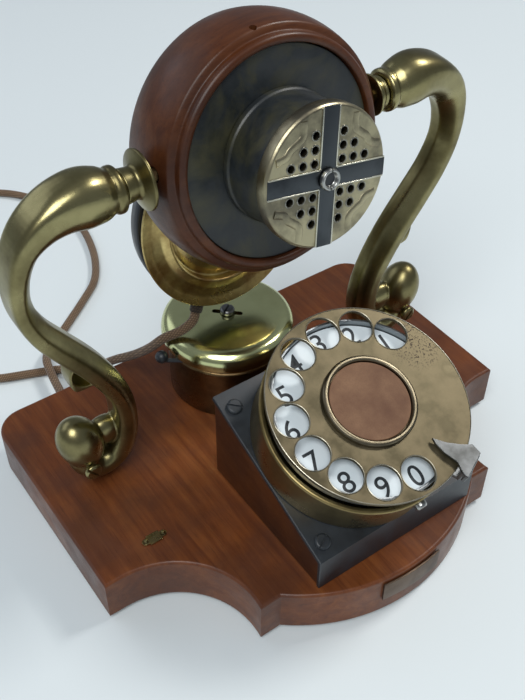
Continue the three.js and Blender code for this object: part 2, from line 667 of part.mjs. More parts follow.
function drumGroup() {
  const group = new THREE.Group();
  group.position.set(0, drum.pivotY, drum.pivotZ);
  group.rotation.x = drum.tilt;
  group.add(piece('drum_shell', drumShell(), mahogany()));
  group.add(piece('drum_back', drumBack(), ebonite()));
  group.add(piece('hook_lever', hookLever(), brass()));
  const axis = new THREE.Group();
  axis.position.z = drum.axis;
  group.add(axis);
  let plate = turnedForward([
    [8, face.front - face.thick], [face.r, face.front - face.thick], [face.r, face.front],
    [8, face.front], [8, face.front - face.thick],
  ]);
  for (const x of [0.5, 8.4]) {
    plate = cut(plate, rod('y', 1.4, -face.front - 1, -face.front + 0.8, [x, 28.4], 8));
  }
  axis.add(piece('face_plate', plate, ebonite()));
  axis.add(piece('capsule', turnedForward([
    [0, 4.9], [27, 4.9], [27, -6], [20, -11], [0, -11],
  ], 28), agedBrass()));
  const bossFront = grille.front - 1.6 - GAP;
  axis.add(piece('mouth_boss', turnedForward([
    [19, face.front + GAP], [22.9, face.front + GAP], [22.9, face.front + 2.2], [22.2, face.front + 3],
    [22.2, bossFront], [20, bossFront], [19, face.front + GAP],
  ]), ebonite()));
  const mouth = new THREE.Group();
  mouth.rotation.y = grille.turn;
  axis.add(mouth);
  mouth.add(piece('grille', grilleCap(), nickel()));
  const nutBack = grille.front + 0.5 + GAP;
  const nut = cut(turnedForward([
    [0, nutBack - 5], [1.2, nutBack - 5], [1.2, nutBack], [3.7, nutBack], [3.7, nutBack + 1],
    [3.2, nutBack + 1.6], [2.3, nutBack + 1.6], [2, nutBack + 0.7], [0, nutBack + 0.7],
  ], 16), boxSolid(1, 1.6, 9, [0, -nutBack - 1.5, 0]));
  mouth.add(piece('grille_nut', nut, nickel()));
  group.add(receiverGroup());
  return group;
}

function receiverShell() {
  const { r } = receiver;
  const bowl = turnedForward([
    [0, 2.8], [9, 2.2], [16, 1], [20.6, -0.8], [22.8, -2.4], [23.8, -2.2], [24.4, 1], [25.2, 1.2],
    [28, -0.4], [32, -0.8], [r, 0], [r, -1], [33, -2.4], [33, -6.4], [31.4, -6.4],
    [31.4, -4.4], [0, -4.4],
  ], 32);
  const eye = new THREE.TorusGeometry(6, 1.4, 8, 20).rotateX(Math.PI / 2).translate(0, 2, 41.3);
  const lug = boxSolid(6, 3, 5.6, [0, 2.2, 33.4]);
  return join(bowl, solid(eye), lug);
}

function receiverGroup() {
  const group = new THREE.Group();
  group.position.set(0, -receiver.along, receiver.up);
  group.add(piece('receiver_shell', receiverShell(), brass()));
  group.add(piece('receiver_cap', turnedForward([
    [4, -11], [29, -9.4], [31.6, -6.7], [34.4, -6.7], [34.6, -9], [33.6, -13.4],
    [31, -15], [10, -12.8], [4, -12.8], [4, -11],
  ]), ebonite()));
  const gland = piece('receiver_gland', turned([
    [0, -40], [2.6, -40], [2.6, -37], [1.9, -36.5], [1.9, -33.4], [0, -33.4],
  ], 16), ebonite());
  gland.position.y = 4.55;
  gland.rotation.y = receiver.exit;
  group.add(gland);
  return group;
}

// ---- cords --------------------------------------------------------------------------------

// From the receiver's gland over the gong's edge and the back of the base to the table, and
// away to the left.
const receiverRun = [
  [-16.4, 41.7, 68.2], [-18.1, 41.1, 64.8], [-22.8, 41.4, 62], [-29.4, 45.6, 57.6],
  [-32.4, 53, 48.2], [-35, 63.4, 37.4], [-39.4, 75.4, 27], [-43.4, 87.4, 15],
  [-46.6, 98, 6.2], [-52, 107.5, 2.3], [-66, 113.6, 2.2],
  [-79, 119, 2.2], [-93, 128, 2.2], [-105.5, 142, 2.2], [-113, 158, 2.2], [-115.6, 175, 2.2],
  [-116, 191.2, 2.2],
];
// From the base's gland along the table, over the first run, and round to the coil.
const baseRun = [
  [-62, 82.3, 9], [-61.8, 86.5, 8.8], [-60.8, 92, 7.6], [-59.8, 98, 6.6], [-58.6, 105, 6.7],
  [-57, 112, 6.8], [-53.4, 119, 4.4], [-47, 125.5, 2.3], [-34, 135.5, 2.2], [-20.5, 146, 2.2],
  [-9, 156, 2.2], [-1.5, 168, 2.2], [4.5, 184, 2.2], [8, 203, 2.2], [5.5, 224, 2.2],
  [-2, 243, 2.2], [-13, 257, 2.2], [-30, 266.5, 2.2], [-50, 269, 2.2], [-71, 265, 2.2],
  [-89.5, 252.5, 3.6], [-102, 235.5, 5.8],
];

function cordGroup() {
  const group = new THREE.Group();
  group.add(piece('receiver_cord', tube(receiverRun, cord.r, 36), braid()));
  group.add(piece('base_cord', tube(baseRun, cord.r, 40), braid()));
  const low = 0.1;
  const high = low + 2 * cord.coilHalf;
  const coil = piece('cord_coil', turned([
    [cord.coilR - cord.coilHalf, low], [cord.coilR + cord.coilHalf, low],
    [cord.coilR + cord.coilHalf, high], [cord.coilR - cord.coilHalf, high],
    [cord.coilR - cord.coilHalf, low],
  ], 32), braid());
  coil.position.set(cord.coilX, cord.coilY, 0);
  group.add(coil);
  return group;
}

const telephone = new THREE.Group();
telephone.add(baseGroup(), blockGroup(), dialGroup(), bellGroup(), armGroup(), drumGroup(), cordGroup());

export default telephone;
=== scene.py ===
import math

import bmesh
import bpy
from mathutils import Matrix, Vector


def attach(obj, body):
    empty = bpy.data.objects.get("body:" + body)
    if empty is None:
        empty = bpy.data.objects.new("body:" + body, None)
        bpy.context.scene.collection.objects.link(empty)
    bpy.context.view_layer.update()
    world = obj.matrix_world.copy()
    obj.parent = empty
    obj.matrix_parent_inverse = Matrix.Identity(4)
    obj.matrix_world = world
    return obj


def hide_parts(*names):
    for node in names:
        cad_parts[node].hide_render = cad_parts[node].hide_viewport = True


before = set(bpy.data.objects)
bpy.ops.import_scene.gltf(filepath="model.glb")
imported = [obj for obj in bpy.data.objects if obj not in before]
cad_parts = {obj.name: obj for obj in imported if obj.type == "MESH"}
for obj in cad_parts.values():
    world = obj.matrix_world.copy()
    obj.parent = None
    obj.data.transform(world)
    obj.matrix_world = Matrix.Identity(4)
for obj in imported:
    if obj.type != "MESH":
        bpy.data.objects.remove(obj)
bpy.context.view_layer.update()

MM = 0.001  # the shapes below are in millimetres

# ---- places, as in the CAD part ---------------------------------------------------------


def turn(degrees, axis):
    return Matrix.Rotation(math.radians(degrees), 4, axis)


def shift(x, y, z):
    return Matrix.Translation((x, y, z))


UPRIGHT = Matrix.Identity(4)
DIAL_TILT = 21.7
DIAL = shift(2.2, -43.3, 78.2) @ turn(DIAL_TILT, "X")  # the finger wheel's face is its XY plane
DRUM = shift(0, 18, 155.8) @ turn(-10.1, "X")  # the pivot; forward is -Y
DRUM_AXIS = DRUM @ shift(0, 0, -5.1)
MOUTH = DRUM_AXIS @ turn(8.6, "Y")
RECEIVER = DRUM @ shift(0, 34.1, -45.2)
BELL = shift(0, 43.5, 0)
FORWARD = turn(90, "X")  # carries +Z to -Y, and the profile's height to distance forward
OUTWARD = turn(90, "Y")  # carries +Z to +X

# ---- mesh helpers -----------------------------------------------------------------------


def make(name, mesh, body, material, *replaced, sharp=35):
    """A finished piece: smooth-shaded, with a material, riding on its body."""
    for polygon in mesh.polygons:
        polygon.use_smooth = True
    mesh.set_sharp_from_angle(angle=math.radians(sharp))
    mesh.materials.clear()
    mesh.materials.append(material)
    obj = bpy.data.objects.new(name, mesh)
    bpy.context.scene.collection.objects.link(obj)
    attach(obj, body)
    if replaced:
        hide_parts(*replaced)
    return obj


def dress(node, material):
    """Gives a CAD node that keeps its shape its finished material."""
    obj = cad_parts[node]
    obj.data.materials.clear()
    obj.data.materials.append(material)


def mesh_of(points, faces, place=UPRIGHT):
    mesh = bpy.data.meshes.new("mesh")
    mesh.from_pydata([(place @ Vector(p)) * MM for p in points], [], faces)
    mesh.validate()
    work = bmesh.new()
    work.from_mesh(mesh)
    bmesh.ops.remove_doubles(work, verts=work.verts, dist=1e-6)
    bmesh.ops.recalc_face_normals(work, faces=work.faces)
    work.to_mesh(mesh)
    work.free()
    return mesh


def fillet(profile, radius, steps=4):
    """The open profile with each inner corner rounded by up to the radius."""
    if radius <= 0:
        return list(profile)
    rounded = [profile[0]]
    for before, corner, after in zip(profile, profile[1:], profile[2:]):
        a = Vector(before) - Vector(corner)
        b = Vector(after) - Vector(corner)
        if a.length < 1e-6 or b.length < 1e-6 or abs(math.pi - a.angle(b)) < 0.2:
            rounded.append(corner)
            continue
        reach = min(radius, 0.45 * a.length, 0.45 * b.length)
        start = Vector(corner) + a.normalized() * reach
        end = Vector(corner) + b.normalized() * reach
        for i in range(steps + 1):
            t = i / steps
            point = start * (1 - t) ** 2 + Vector(corner) * 2 * t * (1 - t) + end * t ** 2
            rounded.append((point.x, point.y))
    rounded.append(profile[-1])
    return rounded


def lathe(profile, place=UPRIGHT, sides=96, radius=0.3):
    """A profile of (radius, height) turned about Z. It starts and ends on the axis, or closes."""
    profile = fillet(profile, radius)
    closed = Vector(profile[0]) == Vector(profile[-1])
    ring = profile[:-1] if closed else profile
    points = []
    for i in range(sides):
        angle = 2 * math.pi * i / sides
        points += [(r * math.cos(angle), r * math.sin(angle), h) for r, h in ring]
    count = len(ring)
    faces = []
    for i in range(sides):
        here = i * count
        there = ((i + 1) % sides) * count
        for k in range(count if closed else count - 1):
            after = (k + 1) % count
            faces.append((here + k, there + k, there + after, here + after))
    return mesh_of(points, faces, place)


def arc(x, y, radius, start, end, steps=24):
    """Points of an arc, in degrees."""
    angles = [math.radians(start + (end - start) * i / steps) for i in range(steps + 1)]
    return [(x + radius * math.cos(a), y + radius * math.sin(a)) for a in angles]


def finished_mesh(obj):
    """The mesh an object has after its modifiers, or the mesh of a curve or text."""
    return bpy.data.meshes.new_from_object(obj.evaluated_get(bpy.context.evaluated_depsgraph_get()))


def circle(x, y, radius, steps=60):
    return arc(x, y, radius, 0, 360 - 360 / steps, steps - 1)


def on_circle(radius, degrees):
    """The point that far from the centre in that direction."""
    return radius * math.cos(math.radians(degrees)), radius * math.sin(math.radians(degrees))


def plate(outlines, low, high, place=UPRIGHT, bevel=0.25, resolution=3):
    """A slab with holes: the first outline is its edge, the others are cut out of it."""
    curve = bpy.data.curves.new("plate", "CURVE")
    curve.dimensions = "2D"
    curve.fill_mode = "BOTH"
    curve.extrude = ((high - low) / 2 - bevel) * MM
    curve.bevel_depth = bevel * MM
    curve.bevel_resolution = resolution
    curve.offset = -bevel * MM
    for outline in outlines:
        spline = curve.splines.new("POLY")
        spline.points.add(len(outline) - 1)
        for point, (x, y) in zip(spline.points, outline):
            point.co = (x * MM, y * MM, 0, 1)
        spline.use_cyclic_u = True
    obj = bpy.data.objects.new("plate", curve)
    bpy.context.scene.collection.objects.link(obj)
    bpy.context.view_layer.update()
    mesh = finished_mesh(obj)
    bpy.data.objects.remove(obj)
    bpy.data.curves.remove(curve)
    work = bmesh.new()
    work.from_mesh(mesh)
    bmesh.ops.remove_doubles(work, verts=work.verts, dist=1e-6)
    bmesh.ops.recalc_face_normals(work, faces=work.faces)
    work.to_mesh(mesh)
    work.free()
    lift = Matrix.Translation((0, 0, (low + high) / 2 * MM))
    place_m = place.copy()
    place_m.translation = place.translation * MM
    mesh.transform(place_m @ lift)
    return mesh


def box(x, y, z, at=(0, 0, 0), place=UPRIGHT, bevel=0.0):
    """A block of those sizes, centred at the point, with eased edges."""
    work = bmesh.new()
    bmesh.ops.create_cube(work, size=1.0)
    bmesh.ops.scale(work, vec=(x, y, z), verts=work.verts)
    if bevel > 0:
        bmesh.ops.bevel(work, geom=work.edges[:], offset=bevel, segments=3, profile=0.5, affect="EDGES")
    bmesh.ops.translate(work, vec=at, verts=work.verts)
    mesh = bpy.data.meshes.new("box")
    work.to_mesh(mesh)
    work.free()
    mesh.transform(Matrix.Scale(MM, 4) @ place)
    return mesh


def ellipsoid(radii, place):
    work = bmesh.new()
    bmesh.ops.create_uvsphere(work, u_segments=48, v_segments=32, radius=1)
    bmesh.ops.scale(work, vec=radii, verts=work.verts)
    mesh = bpy.data.meshes.new("ellipsoid")
    work.to_mesh(mesh)
    work.free()
    mesh.transform(Matrix.Scale(MM, 4) @ place)
    return mesh


def on_side(mesh, side):
    """The mesh as drawn for the right, or mirrored for the left."""
    mesh.transform(Matrix.Diagonal((side, 1, 1, 1)))
    if side < 0:
        mesh.flip_normals()
    return mesh


def merged(*meshes):
    """Several meshes as one."""
    work = bmesh.new()
    for mesh in meshes:
        work.from_mesh(mesh)
    mesh = bpy.data.meshes.new("merged")
    work.to_mesh(mesh)
    work.free()
    return mesh


def modified(mesh, kind, **settings):
    """The mesh that comes out of one modifier."""
    obj = bpy.data.objects.new("work", mesh)
    bpy.context.scene.collection.objects.link(obj)
    modifier = obj.modifiers.new(kind, kind)
    for key, setting in settings.items():
        setattr(modifier, key, setting)
    bpy.context.view_layer.update()
    result = finished_mesh(obj)
    bpy.data.objects.remove(obj)
    return result


def carved(mesh, *tools, operation="DIFFERENCE"):
    """The mesh with each tool cut out of it, or joined to it."""
    for tool in tools:
        cutter = bpy.data.objects.new("cutter", tool)
        bpy.context.scene.collection.objects.link(cutter)
        mesh = modified(mesh, "BOOLEAN", object=cutter, operation=operation, solver="EXACT")
        bpy.data.objects.remove(cutter)
    return mesh


def smooth_line(points, steps=8):
    """Points along the centripetal Catmull-Rom curve through the given ones."""
    points = [Vector(p) for p in points]
    padded = [2 * points[0] - points[1]] + points + [2 * points[-1] - points[-2]]
    line = []
    for p0, p1, p2, p3 in zip(padded, padded[1:], padded[2:], padded[3:]):
        d0, d1, d2 = (math.sqrt((b - a).length) for a, b in ((p0, p1), (p1, p2), (p2, p3)))
        d1 = d1 or 1.0
        d0 = d0 or d1
        d2 = d2 or d1
        m1 = ((p1 - p0) / d0 - (p2 - p0) / (d0 + d1) + (p2 - p1) / d1) * d1
        m2 = ((p2 - p1) / d1 - (p3 - p1) / (d1 + d2) + (p3 - p2) / d2) * d1
        for i in range(steps):
            t = i / steps
            line.append(
                (2 * t ** 3 - 3 * t ** 2 + 1) * p1 + (t ** 3 - 2 * t ** 2 + t) * m1
                + (3 * t ** 2 - 2 * t ** 3) * p2 + (t ** 3 - t ** 2) * m2
            )
    line.append(points[-1])
    return line


def tube(points, radius, place=UPRIGHT, sides=12, steps=5, width=None):
    """A tube along the smooth line through the points, round or flattened across Y."""
    line = smooth_line(points, steps)
    rings = []
    side = Vector((0, 1, 0))
    for i, centre in enumerate(line):
        ahead = (line[min(i + 1, len(line) - 1)] - line[max(i - 1, 0)]).normalized()
        u = (side - ahead * side.dot(ahead)).normalized()
        w = ahead.cross(u)
        rings += [centre + u * math.cos(a) * radius + w * math.sin(a) * (width or radius)
                  for a in (2 * math.pi * k / sides for k in range(sides))]
    last = (len(line) - 1) * sides
    faces = [tuple(range(sides)), tuple(range(last, last + sides))]
    for i in range(len(line) - 1):
        for k in range(sides):
            a, b = i * sides + k, i * sides + (k + 1) % sides
            faces.append((a, b, b + sides, a + sides))
    return mesh_of(rings, faces, place)


def ring_tube(ring, radius, place, sides=16):
    """A closed loop of round tube through the points of a ring in the X-Z plane."""
    count = len(ring)
    centre = sum((Vector(p) for p in ring), Vector()) / count
    points, faces = [], []
    for place_on_ring in map(Vector, ring):
        out = (place_on_ring - centre).normalized()
        for k in range(sides):
            a = 2 * math.pi * k / sides
            spoke = out * math.cos(a) + Vector((0, 1, 0)) * math.sin(a)
            points.append(place_on_ring + spoke * radius)
    for i in range(count):
        for k in range(sides):
            a, b = i * sides + k, i * sides + (k + 1) % sides
            c, d = ((i + 1) % count) * sides + k, ((i + 1) % count) * sides + (k + 1) % sides
            faces.append((a, b, d, c))
    return mesh_of(points, faces, place)


def slotted_head(radius, height, slot, place, shank=0.0):
    """A screw's head, its face at z = 0, with its slot and a stub of shank below."""
    stem = max(radius * 0.5, 0.6)
    body = lathe([
        (0, -height - shank), (stem, -height - shank), (stem, -height), (radius, -height),
        (radius, -height * 0.35), (radius * 0.8, 0), (0, 0),
    ], place, sides=48, radius=0.25)
    return carved(body, box(2.6 * radius, slot, height, (0, 0, 0), place))


# ---- materials --------------------------------------------------------------------------


class Nodes:
    """A material's node tree, with its Principled shader and object coordinates."""

    def __init__(self, name, slot, **sockets):
        self.material = bpy.data.materials.new(name)
        self.material.use_nodes = True
        self.material["slot"] = slot
        self.tree = self.material.node_tree
        self.shader = self.tree.nodes["Principled BSDF"]
        self.coordinates = self.tree.nodes.new("ShaderNodeTexCoord").outputs["Object"]
        for socket, value in sockets.items():
            self.shader.inputs[socket.replace("_", " ")].default_value = value

    def add(self, kind, inputs=None, **settings):
        node = self.tree.nodes.new(kind)
        for key, value in settings.items():
            setattr(node, key, value)
        for key, value in (inputs or {}).items():
            if isinstance(value, bpy.types.NodeSocket):
                self.tree.links.new(value, node.inputs[key])
            else:
                node.inputs[key].default_value = value
        return node

    def scaled(self, x, y, z, place=None):
        """Object coordinates times a factor, in millimetres, in the place's own axes."""
        source = self.coordinates
        if place is not None:
            rotation = place.to_3x3().inverted().to_euler()
            source = self.add("ShaderNodeMapping", {
                "Vector": source, "Rotation": rotation,
            }).outputs[0]
        return self.add("ShaderNodeMapping", {
            "Vector": source, "Scale": (1000 * x, 1000 * y, 1000 * z),
        }).outputs[0]

    def noise(self, vector, scale, detail=4.0, roughness=0.55, distortion=0.0):
        return self.add("ShaderNodeTexNoise", {
            "Vector": vector, "Scale": scale, "Detail": detail, "Roughness": roughness,
            "Distortion": distortion,
        }).outputs["Fac"]

    def ramp(self, factor, *stops):
        node = self.add("ShaderNodeValToRGB", {"Fac": factor})
        elements = node.color_ramp.elements
        while len(elements) < len(stops):
            elements.new(0.5)
        for element, (position, colour) in zip(elements, stops):
            element.position = position
            element.color = colour if len(colour) == 4 else (*colour, 1)
        return node.outputs["Color"]

    def levels(self, factor, *stops):
        """A ramp of grey values."""
        return self.ramp(factor, *((position, (v, v, v)) for position, v in stops))

    def mix(self, factor, a, b, blend="MIX"):
        node = self.add("ShaderNodeMix", data_type="RGBA", blend_type=blend)
        for key, value in ((0, factor), (6, a), (7, b)):
            if isinstance(value, bpy.types.NodeSocket):
                self.tree.links.new(value, node.inputs[key])
            else:
                node.inputs[key].default_value = (*value, 1) if isinstance(value, tuple) else value
        return node.outputs[2]

    def link(self, output, socket):
        self.tree.links.new(output, self.shader.inputs[socket])

    def bump(self, height, strength=0.3, distance=0.0002):
        previous = self.shader.inputs["Normal"].links
        inputs = {"Height": height, "Strength": strength, "Distance": distance}
        if previous:
            inputs["Normal"] = previous[0].from_socket
        self.link(self.add("ShaderNodeBump", inputs).outputs[0], "Normal")


def wood(name, place=None, grain=(0.5, 0.035, 0.5), tint=1.0):
    """Old mahogany: long pores along the grain, redder and darker streaks, worn polish."""
    n = Nodes(name, "mahogany", Specular_IOR_Level=0.3, Coat_Weight=0.12, Coat_Roughness=0.25)
    along = n.scaled(*grain, place)
    streaks = n.noise(along, 0.55, 6, 0.6, 0.6)
    pores = n.noise(n.scaled(grain[0] * 5, grain[1] * 2.2, grain[2] * 5, place), 1.0, 3, 0.7)
    patches = n.noise(n.scaled(0.02, 0.02, 0.02), 1.4, 6)

    def shade(r, g, b):
        return (r * tint, g * tint, b * tint)

    body = n.ramp(streaks, (0.3, shade(0.16, 0.042, 0.011)), (0.5, shade(0.23, 0.066, 0.017)),
                  (0.7, shade(0.31, 0.1, 0.026)))
    worn = n.mix(n.levels(patches, (0.42, 0), (0.62, 0.7)), body, shade(0.1, 0.036, 0.02))
    dark = n.levels(pores, (0.3, 0.45), (0.44, 0))
    n.link(n.mix(dark, worn, shade(0.04, 0.012, 0.007)), "Base Color")
    n.link(n.levels(n.noise(n.scaled(0.05, 0.05, 0.05), 2.0, 5), (0.3, 0.3), (0.7, 0.5)), "Roughness")
    n.bump(pores, 0.18, 0.0002)
    n.bump(n.noise(n.scaled(0.03, 0.03, 0.03), 1.5, 4), 0.25, 0.0008)
    return n.material


def metal(name, slot, bright, dull, roughness, tarnish=(0.5, 0.75), scale=0.05, bump=0.12):
    """A worn metal that goes from bright to dull in soft patches, with fine scratches."""
    n = Nodes(name, slot, Metallic=1.0)
    patches = n.noise(n.scaled(scale, scale, scale), 1.0, 6, 0.6)
    n.link(n.mix(n.levels(patches, (tarnish[0], 0), (tarnish[1], 1)), bright, dull), "Base Color")
    fine = n.noise(n.scaled(0.6, 0.6, 0.6), 1.0, 4)
    low, high = roughness
    n.link(n.levels(patches, (0.3, low), (0.75, high)), "Roughness")
    n.bump(fine, bump, 0.0001)
    n.bump(patches, bump, 0.0006)
    return n.material


PITS_AT = DIAL @ Vector((29.5, 11, 0))
PITS_INNER, PITS_OUTER = 7.0, 12.0  # all the pits show within the first, and none past the second


def wheel_metal():
    """The finger wheel's matt bronze, pitted towards one side."""
    n = Nodes("wheel_bronze", "aged_brass", Metallic=0.85, Roughness=0.45)
    flat = n.scaled(1, 1, 1)
    clouds = n.noise(n.scaled(0.09, 0.09, 0.09), 1.0, 7)
    body = n.ramp(clouds, (0.38, (0.065, 0.054, 0.03)), (0.62, (0.165, 0.135, 0.08)))
    spots = n.levels(n.noise(flat, 1.5, 1, 0.5), (0.58, 0), (0.63, 1))
    away = n.add("ShaderNodeVectorMath", {0: flat, 1: PITS_AT}, operation="DISTANCE").outputs["Value"]
    near = n.add("ShaderNodeMapRange", {
        "Value": away, 1: PITS_INNER, 2: PITS_OUTER, 3: 1.0, 4: 0.0,
    }).outputs[0]
    where = n.mix(1.0, spots, near, "MULTIPLY")
    n.link(n.mix(where, body, (0.03, 0.022, 0.016)), "Base Color")
    n.link(n.levels(clouds, (0.3, 0.36), (0.7, 0.55)), "Roughness")
    n.bump(n.noise(n.scaled(0.8, 0.8, 0.8), 1.0, 4), 0.12, 0.0001)
    return n.material


def black_paint(name, slot="black_metal", worn=(0.045, 0.055, 0.065)):
    """Black japanning or ebonite, bluish where it is rubbed."""
    n = Nodes(name, slot, Roughness=0.42, Coat_Weight=0.15, Coat_Roughness=0.3)
    patches = n.noise(n.scaled(0.05, 0.05, 0.05), 1.2, 7, 0.65)
    streaks = n.noise(n.scaled(0.9, 0.1, 0.25), 1.0, 4)
    body = n.ramp(patches, (0.35, (0.012, 0.014, 0.017)), (0.7, worn))
    n.link(n.mix(n.levels(streaks, (0.55, 0), (0.8, 0.5)), body, worn), "Base Color")
    n.link(n.levels(patches, (0.3, 0.3), (0.7, 0.55)), "Roughness")
    n.bump(n.noise(n.scaled(0.7, 0.7, 0.7), 1.0, 4), 0.1, 0.0001)
    return n.material


def face_black():
    """The drum's face: black, with a bloom of green and brown from handling."""
    n = Nodes("face_black", "ebonite", Roughness=0.45)
    patches = n.noise(n.scaled(0.05, 0.05, 0.05), 1.0, 7, 0.65)
    stains = n.noise(n.scaled(0.03, 0.03, 0.03), 1.4, 5, 0.6, 0.8)
    body = n.ramp(patches, (0.35, (0.006, 0.009, 0.011)), (0.7, (0.032, 0.036, 0.038)))
    n.link(n.mix(n.levels(stains, (0.45, 0), (0.62, 0.8)), body, (0.05, 0.047, 0.022)), "Base Color")
    n.link(n.levels(patches, (0.3, 0.32), (0.7, 0.52)), "Roughness")
    n.bump(n.noise(n.scaled(0.5, 0.5, 0.5), 1.0, 5), 0.15, 0.00015)
    return n.material


def enamel():
    n = Nodes("enamel", "enamel", Roughness=0.5, Specular_IOR_Level=0.3)
    clouds = n.noise(n.scaled(0.08, 0.08, 0.08), 1.0, 4)
    n.link(n.ramp(clouds, (0.3, (0.7, 0.79, 0.83)), (0.7, (0.8, 0.87, 0.9))), "Base Color")
    return n.material


def digit_black():
    n = Nodes("digit_black", "enamel", Roughness=0.6)
    clouds = n.noise(n.scaled(0.5, 0.5, 0.5), 1.0, 3)
    n.link(n.ramp(clouds, (0.3, (0.012, 0.016, 0.02)), (0.7, (0.03, 0.036, 0.042))), "Base Color")
    return n.material


def card_leather():
    """The disc in the wheel's middle: fine grained, in uneven brown."""
    n = Nodes("card_leather", "leather", Roughness=0.7)
    cells = n.add("ShaderNodeTexVoronoi", {"Vector": n.scaled(1, 1, 1), "Scale": 1.6})
    grain = cells.outputs["Distance"]
    clouds = n.noise(n.scaled(0.1, 0.1, 0.1), 1.0, 6)
    body = n.ramp(clouds, (0.3, (0.12, 0.05, 0.022)), (0.7, (0.22, 0.115, 0.058)))
    n.link(n.mix(n.levels(grain, (0.2, 0.25), (0.6, 0)), body, (0.12, 0.055, 0.03)), "Base Color")
    n.bump(grain, 0.25, 0.0002)
    return n.material


def braid(name, shades):
    """Cotton braid: two crossing sets of threads, fine and fuzzy."""
    n = Nodes(name, "braid", Roughness=0.9, Sheen_Weight=0.2)
    threads = [
        n.add("ShaderNodeTexWave", {"Vector": n.scaled(*axes), "Scale": 0.42, "Distortion": 1.2},
              bands_direction="DIAGONAL").outputs["Fac"]
        for axes in ((1, 1, 1), (-1, 1, 1))
    ]
    weave = n.mix(1.0, threads[0], threads[1], "MULTIPLY")
    clouds = n.noise(n.scaled(0.1, 0.1, 0.1), 1.0, 4)
    dark, light = shades
    body = n.ramp(clouds, (0.3, dark), (0.7, light))
    n.link(n.mix(weave, tuple(0.45 * v for v in dark), body), "Base Color")
    n.bump(weave, 0.6, 0.0003)
    return n.material


def felt():
    n = Nodes("felt", "felt", Roughness=0.95, Sheen_Weight=0.4)
    fuzz = n.noise(n.scaled(1, 1, 1), 1.5, 5)
    n.link(n.ramp(fuzz, (0.3, (0.012, 0.014, 0.011)), (0.7, (0.035, 0.04, 0.032))), "Base Color")
    n.bump(fuzz, 0.5, 0.0003)
    return n.material


MAHOGANY = wood("mahogany_board", tint=0.68)
# The block's mahogany at under half the board's tone: painted shade, for the wedge's sides that lie in
# shadow.
BLOCK_WOOD_PAINTED_SHADE = wood("mahogany_block_painted_shade", grain=(0.5, 0.035, 0.3), tint=0.32)
DRUM_WOOD = wood("mahogany_drum", DRUM, grain=(0.05, 0.5, 0.3), tint=0.34)

# Each metal: its name and slot, bright and dull colours, and roughness where bright and dull.
BRASS = metal("arm_brass", "brass", (0.35, 0.31, 0.15), (0.15, 0.125, 0.055), (0.24, 0.38),
              tarnish=(0.34, 0.66), scale=0.04)
DISH_BRASS = metal("dish_brass", "brass", (0.82, 0.66, 0.28), (0.34, 0.2, 0.07), (0.22, 0.4),
                   tarnish=(0.42, 0.62))
GONG_BRASS = metal("gong_brass", "brass", (0.66, 0.68, 0.35), (0.46, 0.46, 0.21), (0.14, 0.26),
                   scale=0.03)
# Very dark brass: painted shade, for the ringer can that stands in the gong's shadow. The pivot pins
# take it too.
CAN_BRASS_IN_SHADE = metal("can_brass_painted_shade", "brass", (0.2, 0.13, 0.06), (0.04, 0.028, 0.018), (0.2, 0.42))
CASE_BRASS = metal("case_brass", "aged_brass", (0.3, 0.23, 0.1), (0.11, 0.08, 0.035), (0.22, 0.42))
WHEEL_METAL = wheel_metal()
RING_METAL = metal("ring_metal", "nickel", (0.2, 0.17, 0.115), (0.09, 0.075, 0.05), (0.28, 0.42))
# Pale bronze for the edges of the wheel and its holes: partly wear, partly a painted highlight along
# the edges.
WORN_EDGE_AND_HIGHLIGHT = metal("worn_edge_and_painted_highlight", "aged_brass", (0.5, 0.46, 0.36), (0.22, 0.19, 0.13), (0.25, 0.4),
                  scale=0.12)
NICKEL = metal("nickel", "nickel", (0.42, 0.42, 0.4), (0.2, 0.2, 0.18), (0.22, 0.4))
GRILLE_METAL = metal("grille_metal", "nickel", (0.44, 0.39, 0.25), (0.19, 0.17, 0.12), (0.28, 0.42),
                     tarnish=(0.4, 0.62), scale=0.09)
# Pale metal: a painted highlight, for the light caught along the edges of the cross's bands.
GRILLE_EDGE_HIGHLIGHT = metal("grille_edge_painted_highlight", "nickel", (0.62, 0.6, 0.5), (0.4, 0.38, 0.3), (0.2, 0.35))
GRILLE_STEP = metal("grille_step", "nickel", (0.34, 0.335, 0.29), (0.2, 0.195, 0.16), (0.22, 0.4))
# Nearly black: painted shade, standing for the shade in the recessed bands of the cross.
GRILLE_PAINTED_SHADE = metal("grille_painted_shade", "nickel", (0.08, 0.088, 0.095), (0.04, 0.045, 0.05), (0.32, 0.5))
STOP_METAL = metal("stop_metal", "nickel", (0.22, 0.23, 0.235), (0.08, 0.082, 0.08), (0.26, 0.42),
                   tarnish=(0.4, 0.65))
STEEL = metal("steel", "steel", (0.2, 0.2, 0.2), (0.08, 0.078, 0.075), (0.25, 0.45))
PLATE_BRONZE = metal("plate_bronze", "black_metal", (0.16, 0.115, 0.085), (0.05, 0.035, 0.026),
                     (0.35, 0.5))
FRAME_METAL = metal("frame_metal", "black_metal", (0.3, 0.32, 0.33), (0.08, 0.085, 0.09), (0.3, 0.5))

BLACK_METAL = black_paint("japanned_black", worn=(0.022, 0.03, 0.038))
EBONITE = black_paint("ebonite_black", "ebonite", (0.02, 0.023, 0.03))
FACE_BLACK = face_black()
ENAMEL = enamel()
DIGITS = digit_black()
CARD = card_leather()
BRAID = braid("braid", ((0.21, 0.125, 0.066), (0.37, 0.24, 0.14)))
# The braid in a much darker tone: painted shade, for the gland where the cord lies in shadow by the
# receiver.
BRAID_PAINTED_SHADE = braid("braid_painted_shade", ((0.04, 0.026, 0.016), (0.075, 0.05, 0.03)))
FELT = felt()

# ---- camera -----------------------------------------------------------------------------


CAMERA_AT = Vector((-166.7, -212.1, 327.6))
YAW, PITCH, ROLL = 35.90, 43.66, -0.66  # degrees: to the right of +Y, down, and about the view
FOCAL, PICTURE_HEIGHT = 975.7, 700  # in pixels
SENSOR = 36.0


